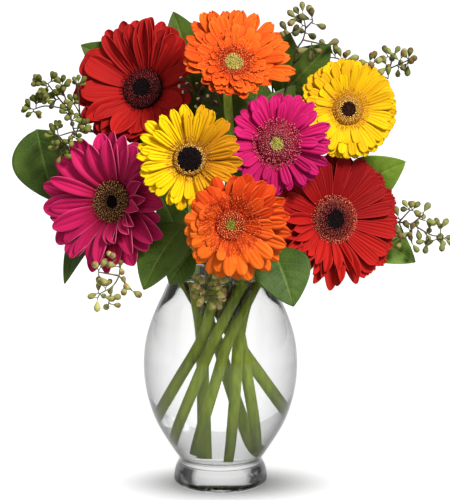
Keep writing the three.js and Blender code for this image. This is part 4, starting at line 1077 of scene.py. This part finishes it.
# Salal leaves
# Broad leathery leaves with a pointed tip, a pale midrib and curved side veins, on thin woody stems. They
# fill the gaps between the blooms and hang over the neck of the vase.
LEAFY_STEMS = {
    "salal_stem_left": {
        "waist": 88, "via": [(-28, 14, 194), (-56, 24, 214), (-90, 22, 240), (-112, 20, 270)],
        "leaves": [((-149, 18, 291), (-134, 13, 232), (-0.2, -0.95, 0.2), 50),
                   ((-90, 10, 226), (-126, -14, 170), (-0.5, -0.5, 0.7), 32)],
    },
    "salal_stem_top_left": {
        "waist": 45, "via": [(-13, 35, 203), (-26, 46, 270), (-34, 48, 318)],
        "leaves": [((-56, 50, 324), (-114, 42, 357), (-0.2, -0.95, 0.3), 40),
                   ((-24, 42, 334), (-38, 30, 385), (0.1, -0.95, 0.3), 36),
                   ((-17, 30, 304), (-36, 28, 361), (0.1, -0.95, 0.2), 44),
                   ((-31, 16, 262), (-72, 18, 301), (-0.1, -0.95, 0.2), 42)],
    },
    "salal_stem_top_right": {
        "waist": 2, "via": [(15, 33, 203), (30, 36, 260), (44, 28, 305)],
        "leaves": [((48, 22, 316), (88, 6, 361), (-0.1, -0.97, 0.2), 44),
                   ((42, 24, 326), (54, 8, 371), (0.1, -0.95, 0.25), 34),
                   ((34, 16, 283), (66, 14, 328), (0.2, -0.95, 0.1), 44),
                   ((14, 12, 275), (-7, 18, 333), (-0.1, -0.95, 0.2), 46),
                   ((26, 22, 292), (31, 22, 334), (0.1, -0.95, 0.2), 34)],
    },
    "salal_stem_right": {
        "waist": -42, "tones": "fresh_leaf", "via": [(31, 15, 194), (60, 28, 206), (92, 36, 220)],
        "leaves": [((106, 32, 238), (150, 10, 266), (0.1, -0.97, 0.3), 40),
                   ((104, 34, 208), (160, 12, 182), (0.15, -0.9, 0.4), 42)],
    },
    "salal_stem_front_left": {
        "waist": 135, "hanging": True, "via": [(-31, -12, 192), (-34, -30, 212)],
        "leaves": [((-29, -40, 224), (-60, -56, 175), (-0.5, -0.8, 0.35), 44),
                   ((-22, -45, 204), (-40, -42, 176), (-0.4, -0.85, 0.3), 28),
                   ((-21, -8, 187), (-47, -6, 241), (-0.3, -0.9, 0.2), 40),
                   ((-13, 8, 170), (-39, -4, 207), (-0.3, -0.9, 0.2), 34)],
    },
    "salal_stem_front_right": {
        "waist": -133, "hanging": True, "tones": "dull_leaf", "via": [(14, -33, 190), (32, -43, 206)],
        "leaves": [((41, -44, 205), (57, -70, 165), (0.15, -0.9, 0.4), 46),
                   ((34, 4, 184), (66, 6, 242), (0.2, -0.95, 0.1), 38),
                   ((16, 8, 170), (50, 4, 206), (0.2, -0.95, 0.2), 34)],
    },
    "salal_stem_back": {
        "waist": 60, "inner": True, "via": [(-6, 24, 192), (-8, 48, 230), (2, 58, 262)],
        "leaves": [((-16, 58, 238), (-62, 72, 214), (-0.2, 0.9, 0.35), 44),
                   ((12, 60, 246), (62, 68, 222), (0.2, 0.9, 0.35), 44),
                   ((2, 60, 272), (-4, 66, 326), (0, 0.97, 0.2), 42),
                   ((-6, 54, 262), (-46, 34, 318), (-0.1, -0.95, 0.2), 44),
                   ((6, 52, 250), (66, 26, 282), (0.2, -0.95, 0.2), 46),
                   ((-10, 46, 226), (-66, 12, 262), (-0.2, -0.95, 0.2), 44),
                   ((4, 40, 214), (58, 8, 246), (0.2, -0.95, 0.3), 42),
                   ((-8, 36, 210), (-40, -8, 244), (-0.3, -0.9, 0.3), 40)],
    },
}
OUTER_FOOT = {"radius": BUNDLE_RADIUS, "lean": 0.44, "height": 141}
INNER_FOOT = {"radius": 5.5, "lean": 0.2, "height": 132}
TWIG_RADIUS = 1.3
LEAF_STALK_RADIUS = 0.8
LEAF_THICKNESS = 0.6 * MM
LEAF_ROWS = 30
LEAF_COLUMNS = 20
SIDE_VEINS = 7
# Besides the leaves' own green, one set is greener and lighter with painted light, for the right-hand stem,
# and one is darker with painted shade, for the front right stem.
LEAF_TONES = {
    "mature_leaf": {"dark": (0.034, 0.07, 0.008), "light": (0.08, 0.13, 0.015), "vein": (0.13, 0.19, 0.035)},
    "dull_leaf": {"dark": (0.024, 0.055, 0.005), "light": (0.055, 0.1, 0.01), "vein": (0.1, 0.15, 0.03)},
    "fresh_leaf": {"dark": (0.08, 0.15, 0.012), "light": (0.16, 0.26, 0.025), "vein": (0.22, 0.33, 0.05)},
}
LEAF_ARCH = 0.09
LEAF_FOLD = 0.18
LEAF_RIPPLE = 0.03
VEIN_RISE = 0.25
VEIN_SWEEP = 0.22
VEIN_CURVE = 1.2
RIB_DEPTH = 0.5
LEAF_NET = 420.0
LEAF_MOTTLE = 45.0


def foliage_route(piece):
    """The way of a foliage stem: straight in the bundle, then curved through the points it passes."""
    foot = INNER_FOOT if piece.get("inner") else OUTER_FOOT
    straight = [bundle_point(piece["waist"], foot["lean"], height, foot["radius"])
                for height in (foot["height"], STRAIGHT_TOP, NECK_HEIGHT)]
    return [straight[0], *smooth_path([*straight[1:], *piece["via"]], 8)]


def leaf_mesh(name, base, tip, faces, width, seed):
    """A leaf from its base to its tip, folded a little along the midrib, with side veins raised behind."""
    draw = random.Random(seed)
    length = (tip - base).length
    along = (tip - base) / length
    faces = (faces - along * faces.dot(along)).normalized()
    sideways = faces.cross(along)
    phase = draw.uniform(0, 2 * math.pi)
    rows = []
    for i in range(LEAF_ROWS + 1):
        share = i / LEAF_ROWS
        half = width / 2 * max(math.sin(math.pi * share ** 0.75), 0.008) ** 0.8
        arch = LEAF_ARCH * length * math.sin(math.pi * share)
        row = []
        for j in range(LEAF_COLUMNS + 1):
            side = 2 * j / LEAF_COLUMNS - 1
            ripple = math.sin(7 * share + phase + 1.3 * side) * LEAF_RIPPLE * half * abs(side)
            vein_turn = 2 * math.pi * SIDE_VEINS * (share - VEIN_SWEEP * abs(side) ** VEIN_CURVE)
            veins = VEIN_RISE * math.cos(vein_turn) * (1 - abs(side)) ** 0.5
            rib = RIB_DEPTH * math.exp(-(side * 12) ** 2)
            rise = arch + abs(side) * half * LEAF_FOLD + ripple - veins * min(1, half / 8) - rib
            row.append((base + along * (share * length) + sideways * (side * half) + faces * rise) * MM)
        rows.append(row)
    return grid_mesh(name, rows)


def leaf_finish(name, tones):
    """Green that varies over the leaf, with a pale midrib, curved side veins and a fine net between them."""
    material, tree, shader = new_material(name, {"Roughness": 0.5, "Specular IOR Level": 0.15})
    across, along = across_and_along(tree)
    from_rib = arithmetic(tree, "ABSOLUTE", scaled(tree, across, 2.0, -1.0))
    swept = times(tree, arithmetic(tree, "POWER", from_rib, VEIN_CURVE), -VEIN_SWEEP)
    vein_phase = arithmetic(tree, "FRACT", scaled(tree, plus(tree, along, swept), float(SIDE_VEINS), 0.5))
    from_vein = arithmetic(tree, "ABSOLUTE", plus(tree, vein_phase, -0.5))
    fading = mapped(tree, from_rib, 0.1, 0.95, 0.5, 0.0)
    veins = times(tree, mapped(tree, from_vein, 0.0, 0.08, 1.0, 0.0), fading)
    lines = arithmetic(tree, "MAXIMUM", veins, mapped(tree, from_rib, 0.0, 0.07, 1.0, 0.0))
    cells = {"Vector": own_place(tree), "Scale": LEAF_NET}
    net = node(tree, "ShaderNodeTexVoronoi", cells, feature="DISTANCE_TO_EDGE").outputs[0]
    net = mapped(tree, net, 0.0, 0.12, 0.3, 0.0)
    mottle = mapped(tree, noise(tree, own_place(tree), LEAF_MOTTLE, 4), 0.35, 0.7)
    green = mixed(tree, mottle, (*tones["dark"], 1), (*tones["light"], 1))
    veined = mixed(tree, arithmetic(tree, "MAXIMUM", lines, net), green, (*tones["vein"], 1))
    painted(tree, shader, veined, net, strength=0.4, depth=0.0005)
    return material


def bark_finish(name, shaded, lit):
    """Thin bark, whose two tones change every few millimetres."""
    material, tree, shader = new_material(name, {"Roughness": 0.6})
    patches = mapped(tree, noise(tree, own_place(tree), 300.0, 3), 0.35, 0.65)
    painted(tree, shader, mixed(tree, patches, (*shaded, 1), (*lit, 1)))
    return material


leaf_finishes = {name: leaf_finish(name, tones) for name, tones in LEAF_TONES.items()}
woody = bark_finish("woody_twig", (0.05, 0.07, 0.02), (0.14, 0.13, 0.05))

for index, (name, piece) in enumerate(LEAFY_STEMS.items()):
    route = foliage_route(piece)
    paths = [tapered(route, TWIG_RADIUS, 1.1, 0.4)]
    meshes = []
    for step, (base, tip, faces, width) in enumerate(piece["leaves"]):
        base, tip = Vector(base), Vector(tip)
        start = min(route, key=lambda point: (point - base).length)
        paths.append(tapered([start, start.lerp(base, 0.5), base, base.lerp(tip, 0.08)], LEAF_STALK_RADIUS))
        leaf = leaf_mesh(name, base, tip, Vector(faces), width, 70 * index + step)
        leaf.materials.append(leaf_finishes[piece.get("tones", "mature_leaf")])
        leaf.polygons.foreach_set("use_smooth", [True] * len(leaf.polygons))
        meshes.append(thickened(leaf, LEAF_THICKNESS))
    twigs = grown_mesh(name, stem_tree, path_mesh(name, paths), Sides=10, Material=woody)
    leafy = one_piece(name + "_leaves", [twigs, *meshes])
    stand_for(leafy, "salal_leaf", name)
    if not piece.get("hanging"):
        keep_off(floor, leafy)


# Seeded eucalyptus
# Thin branching twigs that end in bunches of hard green seed pods, each an urn with a small brown cap. They
# stand among the blooms, and three of them hang over the edge.
SPRAYS = {
    "eucalyptus_left": {
        "waist": 120, "inner": True, "pods": "green_pod", "size": 5.9,
        "via": [(-22, 2, 206), (-50, 16, 240), (-86, 18, 274), (-108, 10, 295)],
        "twigs": [[(-108, 10, 295), (-121, 8, 307), (-140, 4, 312), (-150, 6, 309)],
                  [(-121, 8, 307), (-131, 5, 320), (-138, 4, 330)], [(-110, 8, 302), (-114, 4, 328)],
                  [(-121, 8, 307), (-127, 2, 328)], [(-108, 10, 295), (-116, 4, 312)],
                  [(-99, -2, 290), (-116, -14, 294), (-128, -18, 291)], [(-116, -14, 294), (-119, -16, 307)],
                  [(-116, -14, 294), (-127, -18, 279)]],
        "umbels": [(-146, 0, 332, 6), (-140, 6, 326, 5), (-133, 5, 333, 6), (-126, -1, 329, 6),
                   (-139, 2, 320, 6), (-148, 11, 316, 6), (-154, 6, 310, 5), (-150, 4, 306, 4),
                   (-134, 7, 316, 6), (-114, 6, 329, 6), (-118, -2, 316, 5), (-127, 6, 321, 5),
                   (-121, -23, 310, 5), (-118, -9, 303, 5), (-131, -10, 299, 6), (-133, -16, 292, 7),
                   (-127, -19, 287, 6), (-112, -15, 295, 4), (-105, -20, 298, 5), (-115, -20, 289, 5),
                   (-130, -12, 280, 5), (-125, -16, 275, 4)],
    },
    "eucalyptus_middle": {
        "waist": 180, "inner": True, "pods": "flowering_pod", "size": 5.6,
        "via": [(-13, -2, 205), (-22, -6, 262), (-18, -8, 300)],
        "twigs": [[(-18, -8, 300), (-12, -14, 319), (-4, -16, 323)], [(-12, -14, 319), (-27, -16, 330)]],
        "umbels": [(-29, -18, 331, 2), (-23, -15, 326, 2), (-16, -14, 327, 2), (-8, -17, 323, 2),
                   (-3, -14, 323, 2), (-16, -20, 316, 3), (-3, -9, 311, 3)],
    },
    "eucalyptus_top_right": {
        "waist": 0, "inner": True, "pods": "brown_pod", "size": 7.6,
        "via": [(10, 16, 205), (34, 14, 268), (52, 8, 322), (58, 0, 346)],
        "twigs": [[(58, 0, 346), (61, -4, 359), (65, -8, 366), (67, -8, 375), (65, -8, 385)],
                  [(61, -4, 359), (55, -8, 371)], [(65, -8, 366), (83, -8, 362)],
                  [(67, -8, 375), (73, -8, 381)], [(58, 0, 346), (64, -6, 353)]],
        "umbels": [(65, -7, 387, 1), (60, -2, 384, 2), (57, -7, 380, 2), (72, -8, 382, 3), (74, -9, 378, 1),
                   (63, -5, 377, 2), (69, -2, 371, 2), (51, -13, 373, 2), (56, -12, 372, 2), (84, -5, 362, 2),
                   (71, -13, 356, 3)],
    },
    "eucalyptus_far_right": {
        "waist": -60, "inner": True, "pods": "grey_pod", "size": 7.4,
        "via": [(16, 4, 200), (56, 12, 236), (108, 26, 276), (114, 18, 320)],
        "twigs": [[(114, 18, 320), (126, 10, 337), (135, 4, 342), (149, 0, 349)],
                  [(126, 10, 337), (134, 4, 334)], [(126, 10, 337), (119, 6, 346)],
                  [(135, 4, 342), (137, 2, 351)],
                  [(112, 24, 300), (98, 22, 346), (84, 18, 350)]],
        "umbels": [(125, 6, 349, 2), (129, -5, 353, 2), (138, 5, 352, 3), (143, 7, 350, 2),
                   (149, -4, 351, 3), (149, -3, 346, 3), (144, 7, 342, 3), (134, 4, 334, 3),
                   (118, -5, 348, 3), (130, -1, 344, 2), (92, 22, 352, 3), (98, 23, 349, 2),
                   (103, 17, 349, 2), (82, 15, 350, 3)],
    },
    "eucalyptus_right": {
        "waist": -88, "pods": "grey_pod", "size": 7.2,
        "via": [(32, -12, 194), (62, -2, 197), (104, 8, 206), (138, 8, 217)],
        "twigs": [[(138, 8, 217), (155, 0, 216), (165, -4, 211), (172, -6, 208), (179, -7, 208)],
                  [(146, 4, 220), (153, -2, 228)],
                  [(155, 0, 216), (164, -4, 225)], [(146, 4, 216), (150, -2, 205)],
                  [(165, -4, 211), (171, -8, 202)], [(155, 0, 216), (155, -4, 202)]],
        "umbels": [(152, 1, 229, 3), (156, -11, 230, 3), (164, 2, 226, 2), (167, 2, 218, 2),
                   (152, -7, 212, 4), (145, -4, 206, 4), (155, -2, 201, 2), (160, 0, 213, 2),
                   (171, 3, 212, 2), (179, 3, 217, 3), (181, -5, 204, 4), (176, 0, 201, 3),
                   (167, 1, 200, 3), (143, 3, 221, 2)],
    },
    "eucalyptus_low_left": {
        "waist": -120, "inner": True, "pods": "pale_pod", "size": 7.2, "twig": "olive_twig",
        "via": [(-10, -28, 194), (-24, -34, 206), (-56, -34, 208), (-82, -40, 202)],
        "twigs": [[(-82, -40, 202), (-79, -44, 193), (-80, -46, 184), (-85, -48, 176), (-95, -48, 170)],
                  [(-80, -46, 184), (-70, -48, 173)], [(-85, -48, 176), (-89, -48, 159)],
                  [(-80, -46, 184), (-96, -46, 187)], [(-79, -44, 193), (-70, -46, 199)]],
        "umbels": [(-96, -47, 190, 2), (-96, -47, 182, 2), (-91, -42, 175, 2), (-98, -41, 169, 2),
                   (-99, -44, 162, 2), (-93, -46, 166, 2), (-90, -39, 155, 1), (-84, -51, 161, 1),
                   (-85, -39, 166, 2), (-85, -48, 197, 3), (-80, -52, 192, 3), (-76, -53, 177, 2),
                   (-70, -51, 173, 2), (-70, -46, 199, 1)],
    },
    "eucalyptus_front": {
        "waist": -178, "pods": "ripe_pod", "size": 6.2, "twig": "olive_twig",
        "via": [(-11, -34, 190), (-12, -48, 195), (-10, -56, 184)],
        "twigs": [[(-10, -56, 184), (-10, -60, 177), (-10, -62, 172)]],
        "umbels": [(-18, -66, 183, 3), (-19, -65, 176, 3), (-13, -59, 179, 3), (-13, -63, 173, 3),
                   (-17, -57, 167, 3), (-10, -59, 165, 3), (-3, -56, 164, 3), (2, -65, 167, 3),
                   (3, -63, 171, 3), (1, -61, 175, 3), (-7, -56, 174, 3), (8, -63, 180, 3),
                   (-3, -60, 184, 3)],
    },
}
SPRIG_RADIUS = 0.75
STALK_RADIUS = 0.4
POD_LEAN = (0.6, 1.3)
POD_LIFT = Vector((0, 0, 0.35))
POD_STALK = (1.2, 2.6)
POD_SIZES = (0.82, 1.12)
# The front spray's pods are a lighter copy of the pale ones, with painted light against the shade of the
# blooms above.
PODS = {
    "green_pod": {"body": (0.17, 0.2, 0.035), "cap": (0.18, 0.14, 0.04)},
    "pale_pod": {"body": (0.44, 0.42, 0.13), "cap": (0.3, 0.18, 0.07)},
    "grey_pod": {"body": (0.23, 0.25, 0.07), "cap": (0.18, 0.095, 0.04)},
    "brown_pod": {"body": (0.18, 0.175, 0.06), "cap": (0.14, 0.06, 0.03)},
    "flowering_pod": {"body": (0.1, 0.05, 0.03), "cap": (0.8, 0.6, 0.42)},
    "ripe_pod": {"body": (0.66, 0.62, 0.2), "cap": (0.5, 0.3, 0.13)},
}
POD = [(0, 0), (0.12, 0.2), (0.22, 0.42), (0.33, 0.68), (0.36, 0.9), (0.29, 1.04), (0.3, 1.09), (0.16, 1.2),
       (0, 1.28)]
TWIG_TONES = {
    "dark_twig": ((0.025, 0.022, 0.01), (0.1, 0.075, 0.03)),
    "olive_twig": ((0.13, 0.13, 0.04), (0.26, 0.25, 0.08)),
}

pod_tree, pod = new_tree("pods_on_a_spray", Pods="Collection", Seed="Int", Material="Material")
aim = node(pod_tree, "GeometryNodeInputNamedAttribute", {0: "aim"}, data_type="FLOAT_VECTOR").outputs[0]
size = node(pod_tree, "GeometryNodeInputNamedAttribute", {0: "size"}, data_type="FLOAT").outputs[0]
turn = node(pod_tree, "FunctionNodeAlignRotationToVector", {"Vector": aim}, axis="Z").outputs[0]
bunches = planted(pod_tree, pod["Geometry"], pod["Pods"], turn, size, pod["Seed"], 2)
bunches = kept_value(pod_tree, bunches, "shade", chance(pod_tree, 0.0, 1.0, pod["Seed"], 1), "INSTANCE")
finish_tree(pod_tree, bunches, pod["Material"])

pods = kept_aside("pods", [floret_mesh("pod", POD, 9)])
pod_finishes = {name: floret_material(name, tones["body"], tones["cap"], 0.6, 0.8)
                for name, tones in PODS.items()}
twig_finishes = {name: bark_finish(name, *tones) for name, tones in TWIG_TONES.items()}

for index, (name, piece) in enumerate(SPRAYS.items()):
    draw = random.Random(41 + index)
    route = foliage_route(piece)
    paths = [tapered(route, TWIG_RADIUS, 1.1, 0.5)]
    places, aims, sizes, carriers = [], [], [], []
    for points in piece["twigs"]:
        points = [Vector(point) for point in points]
        points[0] = min([*route, *carriers], key=lambda point: (point - points[0]).length)
        sprig = smooth_path(points, 5)
        carriers += sprig
        paths.append(tapered(sprig, SPRIG_RADIUS, 1.0, 0.35))
    for *centre, count in piece["umbels"]:
        centre = Vector(centre)
        root = min(carriers, key=lambda point: (point - centre).length)
        out = (centre - root).normalized()
        side = out.cross(Vector((0.3, 1, 0.2))).normalized()
        up = out.cross(side)
        hub = root.lerp(centre, 0.5)
        paths.append(tapered([root, root.lerp(hub, 0.5), hub], STALK_RADIUS * 1.2))
        for step in range(count):
            angle = 2 * math.pi * (step + 0.5 * draw.random()) / count
            lean = draw.uniform(*POD_LEAN) if count > 1 else 0.1
            heading = out + side * (lean * math.cos(angle)) + up * (lean * math.sin(angle))
            heading = (heading + POD_LIFT).normalized()
            end = hub + heading * draw.uniform(*POD_STALK)
            paths.append(tapered([hub, hub.lerp(end, 0.5), end], STALK_RADIUS))
            places.append(end * MM)
            aims.append(heading)
            sizes.append(piece["size"] * draw.uniform(*POD_SIZES) * MM)
    seats = bpy.data.meshes.new(name)
    seats.from_pydata([tuple(place) for place in places], [], [])
    aim_numbers = [number for aim in aims for number in aim]
    seats.attributes.new("aim", "FLOAT_VECTOR", "POINT").data.foreach_set("vector", aim_numbers)
    seats.attributes.new("size", "FLOAT", "POINT").data.foreach_set("value", sizes)
    twig_finish = twig_finishes[piece.get("twig", "dark_twig")]
    twigs = grown_mesh(name, stem_tree, path_mesh(name, paths), Sides=8, Material=twig_finish)
    bunch = grown_mesh(name, pod_tree, seats, Pods=pods, Seed=index, Material=pod_finishes[piece["pods"]])
    spray = one_piece(name + "_spray", [twigs, bunch])
    stand_for(spray, "eucalyptus", name)
    keep_off(floor, spray)
